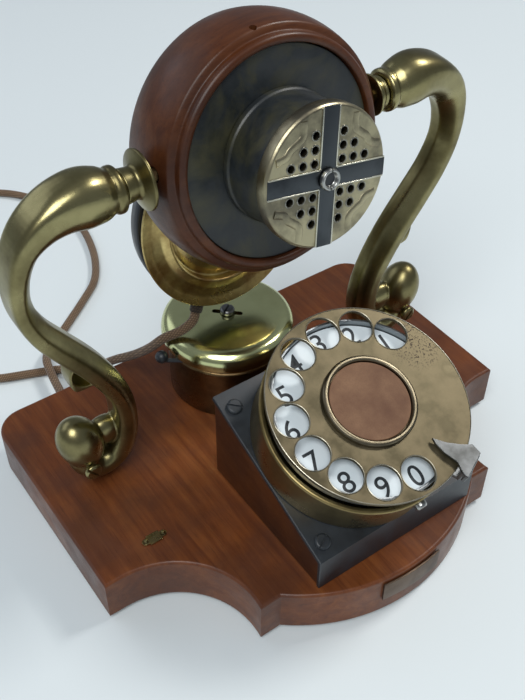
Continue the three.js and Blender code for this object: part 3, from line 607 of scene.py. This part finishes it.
def photo_camera():
    yaw, pitch, roll = (math.radians(degrees) for degrees in (YAW, PITCH, ROLL))
    level = Vector((math.sin(yaw), math.cos(yaw), 0))
    ahead = level * math.cos(pitch) - Vector((0, 0, math.sin(pitch)))
    right = Vector((math.cos(yaw), -math.sin(yaw), 0))
    down = ahead.cross(right)
    x = right * math.cos(roll) + down * math.sin(roll)
    y = right * math.sin(roll) - down * math.cos(roll)
    camera = bpy.data.cameras.new("camera")
    camera.sensor_width = SENSOR
    camera.lens = FOCAL * SENSOR / PICTURE_HEIGHT
    camera.clip_start = 0.01
    camera.clip_end = 20
    obj = bpy.data.objects.new("camera", camera)
    bpy.context.scene.collection.objects.link(obj)
    basis = Matrix((x, y, -ahead)).transposed()
    obj.matrix_world = Matrix.Translation(CAMERA_AT * MM) @ basis.to_4x4()
    bpy.context.scene.camera = obj


# ---- cord -------------------------------------------------------------------------------

CORD_R = 2.0
COIL = Vector((-92, 208, 0))
COIL_R = 25.0

# From the receiver's gland, over the bell's left edge, down to the table and off to the left.
RECEIVER_RUN = [
    (-16.4, 41.7, 68.2), (-18.1, 41.1, 64.8), (-22.8, 41.4, 62), (-29.4, 45.6, 57.6),
    (-32.4, 53, 48.2), (-35, 63.4, 37.4), (-39.4, 75.4, 27), (-43.4, 87.4, 15),
    (-46.6, 98, 6.2), (-52, 107.5, 2.3), (-66, 113.6, 2.2), (-79, 119, 2.2),
    (-93, 128, 2.2), (-105.5, 142, 2.2), (-113, 158, 2.2), (-115.6, 175, 2.2),
    (-116, 191.2, 2.2),
]

# From the base's back edge, over the first run, and round behind to the coil.
BASE_RUN = [
    (-62, 82.3, 9), (-61.8, 86.5, 8.8), (-60.8, 92, 7.6), (-59.8, 98, 6.6), (-58.6, 105, 6.7),
    (-57, 112, 6.8), (-53.4, 119, 4.4), (-47, 125.5, 2.3), (-34, 135.5, 2.2), (-20.5, 146, 2.2),
    (-9, 156, 2.2), (-1.5, 168, 2.2), (4.5, 184, 2.2), (8, 203, 2.2), (5.5, 224, 2.2),
    (-2, 243, 2.2), (-13, 257, 2.2), (-30, 266.5, 2.2), (-50, 269, 2.2), (-71, 265, 2.2),
    (-89.5, 252.5, 3.6), (-102, 235.5, 5.8),
]


def ramp_up(t, start, span):
    """0 until the start, then up to 1 over the span."""
    return min(1, max(0, (t - start) / span))


def coil_turns():
    """Three turns clockwise: two side by side on the table and one lying on them."""
    turns = []
    start, end = 200, -945
    steps = 60
    for i in range(steps + 1):
        t = i / steps
        radius = COIL_R - 4.1 * ramp_up(t, 0.25, 0.1) + 2.1 * ramp_up(t, 0.6, 0.1)
        height = 2.2 + 3.9 * ramp_up(t, 0.58, 0.12)
        turns.append(COIL + Vector((*on_circle(radius, start + (end - start) * t), height)))
    return turns


def cord():
    """The whole cord, from the receiver's gland to the base, coiled where it isn't seen."""
    line = smooth_line([*RECEIVER_RUN, *coil_turns(), *reversed(BASE_RUN)], 5)
    curve = bpy.data.curves.new("cord", "CURVE")
    curve.dimensions = "3D"
    curve.bevel_depth = CORD_R * MM * 0.98
    curve.bevel_resolution = 5
    spline = curve.splines.new("POLY")
    spline.points.add(len(line) - 1)
    for point, place in zip(spline.points, line):
        point.co = (*(place * MM), 1)
    curve.materials.append(BRAID)
    obj = bpy.data.objects.new("cord", curve)
    bpy.context.scene.collection.objects.link(obj)
    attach(obj, "base")
    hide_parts("receiver_cord", "base_cord", "cord_coil")


# ---- base -------------------------------------------------------------------------------


def base_outline():
    left = arc(-90.5, -55.5, 34.5, 90, -8.7)
    bow = arc(0, -4.6, 73.5, -130.3, -49.7, 48)
    right = [(-x, y) for x, y in reversed(left)]
    return [(-97.5, -21), *left, *bow, *right, (97.5, -21), *arc(85.5, 65.4, 12, 0, 90, 12),
            *arc(-85.5, 65.4, 12, 90, 180, 12)]


def base_pieces():
    board = plate([base_outline()], 1.5, 22, bevel=1.2, resolution=4)
    recess = box(150, 78, 3.6, (0, 20, 1.5))
    cord_hole = lathe([(0, -14), (3.5, -14), (3.5, 14), (0, 14)], shift(-62, 77.4, 9) @ FORWARD,
                      32, 0)
    board = carved(board, recess, cord_hole)
    make("base_board_v", board, "base", MAHOGANY, "base_board", sharp=8)
    tablet = [
        (-2.6, -2.2), (2.6, -2.2), (2.6, -1.4), *arc(3.7, 0, 1.4, -90, 90, 12), (2.6, 1.4),
        (2.6, 2.2), (-2.6, 2.2), (-2.6, 1.4), *arc(-3.7, 0, 1.4, 90, 270, 12), (-2.6, -1.4),
    ]
    make("name_plate_v", plate([tablet], 22.3, 22.9, shift(-72, -13.2, 0), bevel=0.15),
         "base", CASE_BRASS, "name_plate")
    front = [*arc(0, 0, 74.6, -100.5, -79.5, 24), *arc(0, 0, 73.8, -79.5, -100.5, 24)]
    make("front_plate_v", plate([front], 10, 19.5, shift(0.5, -4.6, 0), bevel=0.15),
         "base", PLATE_BRONZE, "front_plate")
    dress("base_cover", BLACK_METAL)
    dress("base_gland", EBONITE)
    dress("name_pin_1", BRASS)
    dress("name_pin_2", BRASS)
    for i in range(1, 5):
        dress(f"foot_{i}", FELT)
        dress(f"cover_screw_{i}", STEEL)


# ---- sloping block ----------------------------------------------------------------------


def on_slope(along, above):
    """The (Y, Z) of a point given along and above the finger wheel's face."""
    a = math.radians(DIAL_TILT)
    y = DIAL.translation.y + along * math.cos(a) - above * math.sin(a)
    z = DIAL.translation.z + along * math.sin(a) + above * math.cos(a)
    return y, z


def slope_height(y, above):
    """The height of the slope's surface, or of a layer parallel to it, over a place on the base."""
    y0, z0 = on_slope(0, above)
    return z0 + (y - y0) * math.tan(math.radians(DIAL_TILT))


def block_pieces():
    # The outlines are drawn in the Y-Z plane and run along X.
    sideways = Matrix(((0, 0, 1, 0), (1, 0, 0, 0), (0, 1, 0, 0), (0, 0, 0, 1)))
    place = shift(DIAL.translation.x, 0, 0) @ sideways
    front_y, front_z = on_slope(-36.3, -29.4)
    lip_y = front_y + 1.6
    iron = [
        (front_y, 22.3), (lip_y, 22.3), (lip_y, slope_height(lip_y, -31.4)), on_slope(36.3, -31.4),
        on_slope(36.3, -29.4), (front_y, front_z),
    ]
    make("wedge_plate_v", plate([iron], -37.1, 37.1, place, bevel=0.45, resolution=3),
         "base", BLACK_METAL, "wedge_plate", sharp=8)
    timber_y = lip_y + 0.3
    back_y = on_slope(36.3, -31.4)[0] - 1
    timber = [
        (timber_y, 22.3), (back_y, 22.3), (back_y, slope_height(back_y, -31.7)),
        (timber_y, slope_height(timber_y, -31.7)),
    ]
    # The block wears the mahogany darkened with painted shade.
    make("wedge_block_v", plate([timber], -36.5, 36.5, place, bevel=0.35),
         "base", BLOCK_WOOD_PAINTED_SHADE, "wedge_block", sharp=8)
    for i, (x, along) in enumerate([(-32, -30), (32, -30), (-32, 29), (32, 29)]):
        y, z = on_slope(along, -27.7)
        at = shift(DIAL.translation.x + x, y, z)
        place = at @ turn(DIAL_TILT, "X") @ turn(math.degrees(0.5 + i), "Z")
        make(f"plate_screw_{i + 1}_v", slotted_head(3, 1.4, 0.7, place, 5), "base", BLACK_METAL,
             f"plate_screw_{i + 1}")


# ---- dial -------------------------------------------------------------------------------


WHEEL_R = 38.0
HOLE_CIRCLE_R = 30.1  # from the wheel's middle to the middle of a finger hole
HOLE_R = 6.4
FIRST_HOLE, HOLE_STEP = 37.9, 25.7  # degrees
DIGIT_CIRCLE_R = 29.4
FIRST_DIGIT, DIGIT_STEP = 38.2, 26.1
DIGIT_DROP = 0.7  # the figures stand a little below the middles of the holes


def hole_centres():
    return [on_circle(HOLE_CIRCLE_R, FIRST_HOLE + HOLE_STEP * i) for i in range(10)]


def digits():
    """The generic numerals 1 to 9 and 0, laid flat on the enamel."""
    meshes = []
    for i in range(10):
        x, y = on_circle(DIGIT_CIRCLE_R, FIRST_DIGIT + DIGIT_STEP * i)
        text = bpy.data.curves.new("digit", "FONT")
        text.body = str((i + 1) % 10)
        text.size = 11.2 * MM
        text.align_x = "CENTER"
        text.align_y = "CENTER"
        text.extrude = 0.04 * MM
        text.offset = 0.04 * MM
        obj = bpy.data.objects.new("digit", text)
        bpy.context.scene.collection.objects.link(obj)
        bpy.context.view_layer.update()
        mesh = finished_mesh(obj)
        mesh.transform(Matrix.Translation(Vector((x, y - DIGIT_DROP, -5.95)) * MM))
        meshes.append(mesh)
        bpy.data.objects.remove(obj)
        bpy.data.curves.remove(text)
    mesh = merged(*meshes)
    place = DIAL.copy()
    place.translation = DIAL.translation * MM
    mesh.transform(place)
    return mesh


def finger_stop():
    """The pointed blade over the wheel, folded down past its edge and carried on a thin leg."""
    blade = [
        (25, 0), (27.2, -1.3), (31, -2.3), (36.5, -2.7), (40, -5.2), (42.2, -5.6), (42.2, 5.6),
        (38.2, 6.8), (35, 4.4), (30, 1.7),
    ]
    place = DIAL @ turn(-64, "Z")
    top = plate([blade], 1.0, 2.2, place, bevel=0.2)
    side = [(42.6, 1.0), (42.3, 1.8), (41.6, 2.2), (41.2, 1.2), (41.2, -3.3), (42.6, -3.3)]
    lengthwise = Matrix(((1, 0, 0, 0), (0, 0, 1, 0), (0, 1, 0, 0), (0, 0, 0, 1)))
    skirt = plate([side], -5.0, 5.0, place @ lengthwise, bevel=0.3)
    leg = box(1.4, 4.5, 13, (41.9, 2.8, -7.2), place, 0.2)
    foot = box(4.6, 4.5, 1.4, (40.2, 2.8, -13.1), place, 0.2)
    return merged(top, skirt, leg, foot)


def wheel_edges():
    """The thin edge round each finger hole and round the wheel, in paler metal: partly wear, partly a
    painted highlight.
    """
    flat = DIAL @ turn(90, "X")
    holes = [(x, y, HOLE_R + 0.05, 48) for x, y in hole_centres()]
    rings = []
    for x, y, radius, steps in [*holes, (0, 0, WHEEL_R - 0.15, 160)]:
        ring = [(px, 0.1, -py) for px, py in circle(x, y, radius, steps)]
        rings.append(ring_tube(ring, 0.16, flat, 8))
    return merged(*rings)


def dial_pieces():
    holes = [circle(x, y, HOLE_R) for x, y in hole_centres()]
    wheel = plate([circle(0, 0, WHEEL_R, 120), *holes], -1.6, 0, DIAL, bevel=0.35, resolution=3)
    make("finger_wheel_v", wheel, "wheel", WHEEL_METAL, "finger_wheel", sharp=8)
    # The edge rings carry wear and a painted highlight.
    make("wheel_edges", wheel_edges(), "wheel", WORN_EDGE_AND_HIGHLIGHT)
    make("hub_ring_v", lathe([
        (15.4, 0.3), (17.6, 0.3), (17.6, 1.3), (16.9, 2), (15.9, 2), (15.4, 1.5), (15.4, 0.3),
    ], DIAL, 128), "wheel", RING_METAL, "hub_ring")
    make("centre_card_v", lathe([(0, 0.3), (15.1, 0.3), (15.1, 1), (0, 1)], DIAL, 96),
         "wheel", CARD, "centre_card")
    make("dial_case_v", lathe([
        (0, -29.1), (36.8, -29.1), (36.8, -13), (37.5, -12.2), (37.5, -11.2), (36.9, -10.6),
        (35.4, -10.6), (35.4, -27.7), (0, -27.7),
    ], DIAL, 160, 0.4), "base", CASE_BRASS, "dial_case")
    make("dial_frame_v", lathe([
        (3.4, -9.6), (35, -9.6), (35, -3.2), (34.2, -3.2), (34.2, -7.2), (3.4, -7.2), (3.4, -9.6),
    ], DIAL, 128, 0.15), "base", FRAME_METAL, "dial_frame")
    make("number_plate_v", lathe([
        (12, -6.9), (33.9, -6.9), (33.9, -6.2), (33.6, -6), (12, -6), (12, -6.9),
    ], DIAL, 128, 0.15), "base", ENAMEL, "number_plate")
    make("digits", digits(), "base", DIGITS)
    make("finger_stop_v", finger_stop(), "base", STOP_METAL, "finger_stop", sharp=8)
    place = DIAL @ shift(1.4, -39.6, -15) @ turn(90, "X")
    make("case_screw_v", slotted_head(2.3, 2.2, 0.6, place, 0.1), "base", NICKEL, "case_screw")
    dress("dial_shaft", STEEL)
    dress("governor", STEEL)


# ---- bell -------------------------------------------------------------------------------


HAMMER_KNOB_R = 2.7


def bell_pieces():
    skin = lathe([
        (2.2, 58.3), (22.5, 58.3), (25.2, 57.4), (27.2, 55.5), (28, 52.9), (28, 49.9), (26.6, 49.9),
        (26.5, 53.1), (25.4, 55.1), (22.4, 56.9), (2.2, 56.9), (2.2, 58.3),
    ], BELL, 160, 1.2)
    slot = plate([[*arc(-5.4, 0, 1.1, 90, 270, 8), *arc(5.4, 0, 1.1, -90, 90, 8)]], 50, 62,
                 BELL @ turn(-43, "Z"), bevel=0.0)
    make("gong_v", carved(skin, slot), "base", GONG_BRASS, "gong")
    # The can wears the brass darkened with painted shade.
    make("ringer_can_v", lathe([
        (3.4, 47), (24.5, 47), (25.5, 46), (25.5, 22.3), (24.1, 22.3), (24.1, 45.4), (3.4, 45.4),
        (3.4, 47),
    ], BELL, 128, 0.5), "base", CAN_BRASS_IN_SHADE, "ringer_can")
    place = BELL @ shift(0, 0, 60.8) @ turn(34, "Z")
    make("gong_screw_v", slotted_head(3.1, 2.2, 0.8, place, 5.5), "base", STEEL, "gong_screw")
    dress("gong_post", STEEL)
    knob = arc(0, 0, HAMMER_KNOB_R, -90, 90, 16)
    make("hammer_v", lathe(knob, BELL @ shift(-32.4, 0, 50.3), 48, 0), "hammer", BLACK_METAL, "hammer")
    dress("hammer_rod", BLACK_METAL)
    dress("hammer_post", STEEL)


# ---- arms -------------------------------------------------------------------------------

# Down the right arm: distance from the middle plane, height, half thickness in the arm's plane,
# half depth across it, and how square the section is (2 is an ellipse).
ARM_STATIONS = [
    (55.4, 155.8, 6.6, 6.6, 2), (59.5, 156.2, 8.8, 8.6, 2), (65.5, 156.8, 9.7, 9.2, 2.3),
    (73, 156, 8.6, 8.4, 3), (80.5, 152.3, 7.1, 7.3, 4.4), (86.6, 145.6, 5.6, 6.4, 6),
    (90.2, 135.5, 4.5, 5.9, 6), (90.6, 123.5, 4, 5.6, 6), (86.6, 111.3, 4.2, 5.6, 6),
    (79.7, 99.8, 4.5, 5.7, 6), (72.4, 88.6, 4.6, 5.8, 6), (66, 77.2, 4.6, 5.8, 6),
    (61, 65.2, 4.6, 5.8, 5), (59, 52.8, 5, 6, 4), (60.4, 40.6, 5.6, 6.3, 3),
    (65.6, 31.4, 5.9, 6.5, 2.4), (73, 29.4, 5.8, 6.5, 2.2), (79, 34.5, 5.6, 6.4, 2),
    (80.4, 42, 5, 6, 2),
]


FOOT_Y, FOOT_Z = 26.5, 30
PIVOT_Y, PIVOT_Z = 18, 155.8
ARM_LEAN = math.atan(0.0675)
NECK = 52.6  # from the middle plane to the start of the arm's neck ring


def arm_bar(sway, sides=40):
    """Points and faces of the bar. Where it is square, its inner front corner is slanted off."""
    line = smooth_line([(x, 0, z) for x, z, *_ in ARM_STATIONS], 6)
    size = smooth_line([section for _, _, *section in ARM_STATIONS], 6)
    last = len(line) - 1
    line = [place + Vector((sway * (1 - (i / last) ** 2), 0, 0)) for i, place in enumerate(line)]
    points = []
    for i, (centre, (thick, deep, square)) in enumerate(zip(line, size)):
        ahead = (line[min(i + 1, last)] - line[max(i - 1, 0)]).normalized()
        across = Vector((-ahead.z, 0, ahead.x))
        for k in range(sides):
            angle = 2 * math.pi * k / sides
            c, s = math.cos(angle), math.sin(angle)
            power = 2 - 0.19 * (square - 2) if c < 0 and s < 0 else square
            u = thick * math.copysign(abs(c) ** (2 / power), c)
            v = deep * math.copysign(abs(s) ** (2 / power), s)
            points.append(centre + across * u + Vector((0, v, 0)))
    faces = [tuple(range(sides)), tuple(range(last * sides, (last + 1) * sides))]
    for i in range(last):
        for k in range(sides):
            a, b = i * sides + k, i * sides + (k + 1) % sides
            faces.append((a, b, b + sides, a + sides))
    return points, faces


def arm_mesh(sway):
    """The right arm, carried outward by the sway at its neck and by nothing at its foot."""
    pivot_depth = (PIVOT_Z - FOOT_Z) / math.cos(ARM_LEAN)
    top_y = FOOT_Y - pivot_depth * math.sin(ARM_LEAN)
    lean = shift(0, top_y, PIVOT_Z) @ Matrix.Rotation(ARM_LEAN, 4, "X") @ shift(0, 0, -PIVOT_Z)
    points, faces = arm_bar(sway)
    bar = mesh_of(points, faces, lean)
    ball = ellipsoid((8.8, 9, 12.6), lean @ shift(79.8, 0, 46) @ Matrix.Rotation(0.3, 4, "Y"))
    saddle = ellipsoid((8, 4.8, 7), lean @ shift(69, 1, 45))
    neck = NECK + sway
    ring = lathe([
        (0, neck), (6.6, neck), (7.9, neck + 1), (7.9, neck + 2.8), (6.8, neck + 4), (0, neck + 4),
    ], lean @ shift(0, 0, PIVOT_Z) @ OUTWARD, 64)
    corners = [
        (61, 69, 0), (70, 73, 0), (78.4, 73.8, 0), (80.2, 78, 0), (79.8, 84, 0), (76.4, 87.8, 0),
        (72, 87.6, 0), (65, 80, 0),
    ]
    leaf = [(p.x, p.y) for p in smooth_line([*corners, corners[0]], 4)[:-1]]
    blade = plate([leaf], -7.5, 0.5, lean @ turn(90, "X"), bevel=0.8)
    hollow = ellipsoid((7.3, 6.2, 6.4), lean @ shift(72.2, -1.4, 81.2))
    spur = carved(blade, hollow)
    whole = carved(bar, ball, saddle, ring, spur, operation="UNION")
    soft = modified(whole, "REMESH", mode="VOXEL", voxel_size=0.00042)
    soft = modified(soft, "SMOOTH", factor=0.5, iterations=3)
    below = box(60, 60, 40, (75, FOOT_Y, 2.3))
    bore = lathe([(0, 40), (2.9, 40), (2.9, neck + 5.4), (0, neck + 5.4)],
                 shift(0, PIVOT_Y, PIVOT_Z) @ OUTWARD, 32, 0)
    return carved(soft, below, bore)


def arm_pieces():
    # Side, sway, and where the ferrule's flange starts and how wide it is.
    sides = (("left", -1, 2.8, 47.2, 10.3), ("right", 1, -2.8, 44.7, 7.6))
    for name, side, sway, start, rim in sides:
        make(f"arm_{name}_v", on_side(arm_mesh(sway), side), "base", BRASS, f"arm_{name}", sharp=60)
        place = shift(side * 79.6, 16, 36.4) @ turn(90, "X") @ turn(51.6 * side, "Z")
        make(f"arm_screw_{name}_v", slotted_head(3.4, 1.8, 0.9, place, 4), "base", BRASS,
             f"arm_screw_{name}")
        end = NECK - 0.3 + sway
        ferrule = lathe([
            (2.9, start), (rim, start), (rim, start + 1), (rim - 1.6, start + 1.6), (6, start + 2.8),
            (5.4, start + 3.6), (6, end), (2.9, end), (2.9, start),
        ], shift(0, PIVOT_Y, PIVOT_Z) @ OUTWARD, 96, 0.8)
        make(f"ferrule_{name}_v", on_side(ferrule, side), "base", BRASS, f"ferrule_{name}")
        # The pivot pins wear the can's brass, darkened with painted shade.
        dress(f"pivot_pin_{name}", CAN_BRASS_IN_SHADE)


# ---- drum and mouthpiece ----------------------------------------------------------------


def drum_shell():
    barrel = [(44.2 - 0.013 * (along + 6) ** 2, along) for along in range(6, -19, -2)]
    shell = lathe([
        (33, 4.9), (36.6, 4.9), (36.6, 9.6), (37.4, 10.1), (38.8, 10.1), (39.7, 9.2), (39.7, 7),
        (41.2, 6.6), *barrel, (40.6, -20), (39, -20.6), (36.3, -20.6), (36.3, -17.4), (33, -17.4),
        (33, 4.9),
    ], DRUM_AXIS @ FORWARD, 192, 0.6)
    pins = lathe([(0, -60), (2.9, -60), (2.9, 60), (0, 60)], DRUM @ OUTWARD, 32, 0)
    crown = lathe([(0, 30), (1.2, 30), (1.2, 60), (0, 60)], DRUM @ shift(-4, -5, 0), 24, 0)
    return carved(shell, pins, crown)


def grille_shell():
    cap = lathe([
        (0, 32.8), (22.8, 32.8), (23.6, 31.9), (23.6, 27.8), (22.6, 27.8), (22.6, 31.2), (0, 31.2),
    ], MOUTH @ FORWARD, 128, 0.4)
    drills = [lathe([(0, 29), (1.3, 29), (1.3, 35), (0, 35)], MOUTH @ shift(x, 0, z) @ FORWARD, 20, 0)
              for x, z in grille_holes()]
    middle = lathe([(0, 29), (1.5, 29), (1.5, 35), (0, 35)], MOUTH @ FORWARD, 24, 0)
    return carved(cap, merged(*drills), middle)


def grille_holes():
    return [(sx * (5.4 + 4.5 * i), sz * (5.4 + 4.5 * j))
            for sx in (1, -1) for sz in (1, -1) for i in range(3) for j in range(3 - i)]


def hole_rims():
    """The thin raised lip round each hole."""
    rings = ([(x, -32.8, z) for x, z in circle(*centre, 1.55, 24)] for centre in grille_holes())
    return merged(*(ring_tube(ring, 0.22, MOUTH, 8) for ring in rings))


def cross_bars():
    """The cross: four flat bands from the centre to the rim, coloured dark as painted shade for the
    recessed bands.
    """
    length, width = 46, 5.8
    sizes = ((length, 0.35, width), (width, 0.35, length))
    return merged(*(box(*size, (0, -32.9, 0), MOUTH, 0.08) for size in sizes))


def cross_edges():
    """The raised lines along both sides of each band, in a pale metal that paints their highlight."""
    lines = []
    for sx in (1, -1):
        for sz in (1, -1):
            lines.append(box(19.6, 0.7, 0.5, (sx * 13, -32.85, sz * 3.15), MOUTH, 0.12))
            lines.append(box(0.5, 0.7, 19.6, (sx * 3.15, -32.85, sz * 13), MOUTH, 0.12))
    return merged(*lines)


def stepped_strips():
    """The embossed stepped strip outside each triangle of holes."""
    steps = [(10.1, 19.4), (10.2, 14.6), (12.4, 12.7), (14.7, 11.2), (16.2, 9.3), (20, 8.2)]
    strips = []
    for sx in (1, -1):
        for sz in (1, -1):
            line = [(sx * x, -32.7, sz * z) for x, z in steps]
            strips.append(tube(line, 0.5, MOUTH, width=1.45))
    return merged(*strips)


def drum_pieces():
    make("drum_shell_v", drum_shell(), "drum", DRUM_WOOD, "drum_shell")
    make("face_plate_v", lathe([
        (8, 5.2), (36.3, 5.2), (36.3, 8.2), (8, 8.2), (8, 5.2),
    ], DRUM_AXIS @ FORWARD, 160, 0.4), "drum", FACE_BLACK, "face_plate")
    make("mouth_boss_v", lathe([
        (19, 8.5), (22.9, 8.5), (22.9, 10.4), (22.2, 11.2), (22.2, 30.9), (20, 30.9), (19, 8.5),
    ], DRUM_AXIS @ FORWARD, 128), "drum", FACE_BLACK, "mouth_boss")
    make("grille_v", grille_shell(), "drum", GRILLE_METAL, "grille")
    # The bands wear the painted shade.
    make("grille_bands", cross_bars(), "drum", GRILLE_PAINTED_SHADE)
    # The edge lines wear the painted highlight.
    make("grille_edges", cross_edges(), "drum", GRILLE_EDGE_HIGHLIGHT)
    make("grille_steps", stepped_strips(), "drum", GRILLE_METAL)
    make("grille_rims", hole_rims(), "drum", GRILLE_STEP)
    nut = lathe([
        (0, 28.6), (1.2, 28.6), (1.2, 33.6), (3.7, 33.6), (3.7, 34.5), (3.4, 35.2), (2.6, 35.2),
        (2.1, 33.9), (0, 33.9),
    ], MOUTH @ FORWARD, 64, 0.3)
    # A thin black disc on the floor of the nut's hollow: painted shade.
    hollow = lathe([(0, 33.92), (2.2, 33.92), (2.2, 34), (0, 34)], MOUTH @ FORWARD, 32, 0)
    make("nut_hollow_painted_shade", hollow, "drum", EBONITE)
    slot = box(0.8, 1.4, 9, (0, -35.2, 0), MOUTH)
    make("grille_nut_v", carved(nut, slot), "drum", NICKEL, "grille_nut")
    dress("drum_back", EBONITE)
    dress("capsule", CASE_BRASS)
    dress("hook_lever", BRASS)


def receiver_pieces():
    bowl = lathe([
        (0, 2.8), (9, 2.2), (16, 1), (20.6, -0.8), (22.6, -2.2), (23.8, -2.2), (24.3, 0.9),
        (25.2, 1.1), (28, -0.4), (32, -0.8), (35.9, -0.1), (36.2, -0.5), (35.9, -1.1), (34, -2),
        (33, -3), (33, -6.4), (31.4, -6.4), (31.4, -4.4), (0, -4.4),
    ], RECEIVER @ FORWARD, 192, 0.8)
    eye = ring_tube([(x, 2, z) for x, z in circle(0, 41.3, 6, 48)], 1.4, RECEIVER)
    lug = box(6, 3, 5.6, (0, 2.2, 33.4), RECEIVER, 0.5)
    make("receiver_shell_v", merged(bowl, eye, lug), "receiver", DISH_BRASS, "receiver_shell")
    make("receiver_cap_v", lathe([
        (4, -11), (29, -9.4), (31.6, -8), (31.6, -6.7), (34.4, -6.7), (34.6, -9), (33.6, -13.4),
        (31, -15), (24, -13.6), (10, -12.8), (4, -12.8), (4, -11),
    ], RECEIVER @ FORWARD, 160, 0.8), "receiver", EBONITE, "receiver_cap")
    # The gland wears the braid darkened with painted shade.
    dress("receiver_gland", BRAID_PAINTED_SHADE)


# ---- studio -----------------------------------------------------------------------------


def area_light(name, place, target, size, power, colour=(1, 1, 1)):
    light = bpy.data.lights.new(name, "AREA")
    light.shape = "RECTANGLE"
    light.size, light.size_y = size
    light.energy = power
    light.color = colour
    obj = bpy.data.objects.new(name, light)
    bpy.context.scene.collection.objects.link(obj)
    obj.location = place
    obj.rotation_euler = (Vector(target) - Vector(place)).to_track_quat("-Z", "Y").to_euler()


def pale_floor():
    floor = Nodes("floor", "none", Roughness=0.55)
    clouds = floor.noise(floor.scaled(0.002, 0.002, 0.002), 1.0, 2)
    floor.link(floor.ramp(clouds, (0.3, (0.7, 0.76, 0.775)), (0.7, (0.72, 0.78, 0.795))), "Base Color")
    mesh = bpy.data.meshes.new("floor")
    mesh.from_pydata([(-4, -4, 0), (4, -4, 0), (4, 4, 0), (-4, 4, 0)], [], [(0, 1, 2, 3)])
    mesh.materials.append(floor.material)
    obj = bpy.data.objects.new("floor", mesh)
    bpy.context.scene.collection.objects.link(obj)


def studio():
    """Even pale light from all round, with a key from the right and soft light from overhead."""
    pale_floor()
    world = bpy.data.worlds.new("world")
    world.use_nodes = True
    background = world.node_tree.nodes["Background"]
    background.inputs["Color"].default_value = (0.8, 0.88, 1.0, 1)
    background.inputs["Strength"].default_value = 0.24
    bpy.context.scene.world = world
    bpy.context.scene.view_settings.view_transform = "Standard"
    target = (0, 0, 0.08)
    area_light("key", (0.85, -0.1, 1.1), target, (0.3, 0.3), 8, (1, 0.98, 0.95))
    area_light("overhead", (-0.9, -0.8, 1.9), target, (1.2, 1.2), 31, (0.98, 0.995, 1))
    area_light("window", (-0.6, 1.05, 0.85), target, (1.2, 0.7), 2.4, (0.82, 0.88, 1))


photo_camera()
cord()
base_pieces()
block_pieces()
dial_pieces()
bell_pieces()
arm_pieces()
drum_pieces()
receiver_pieces()
studio()
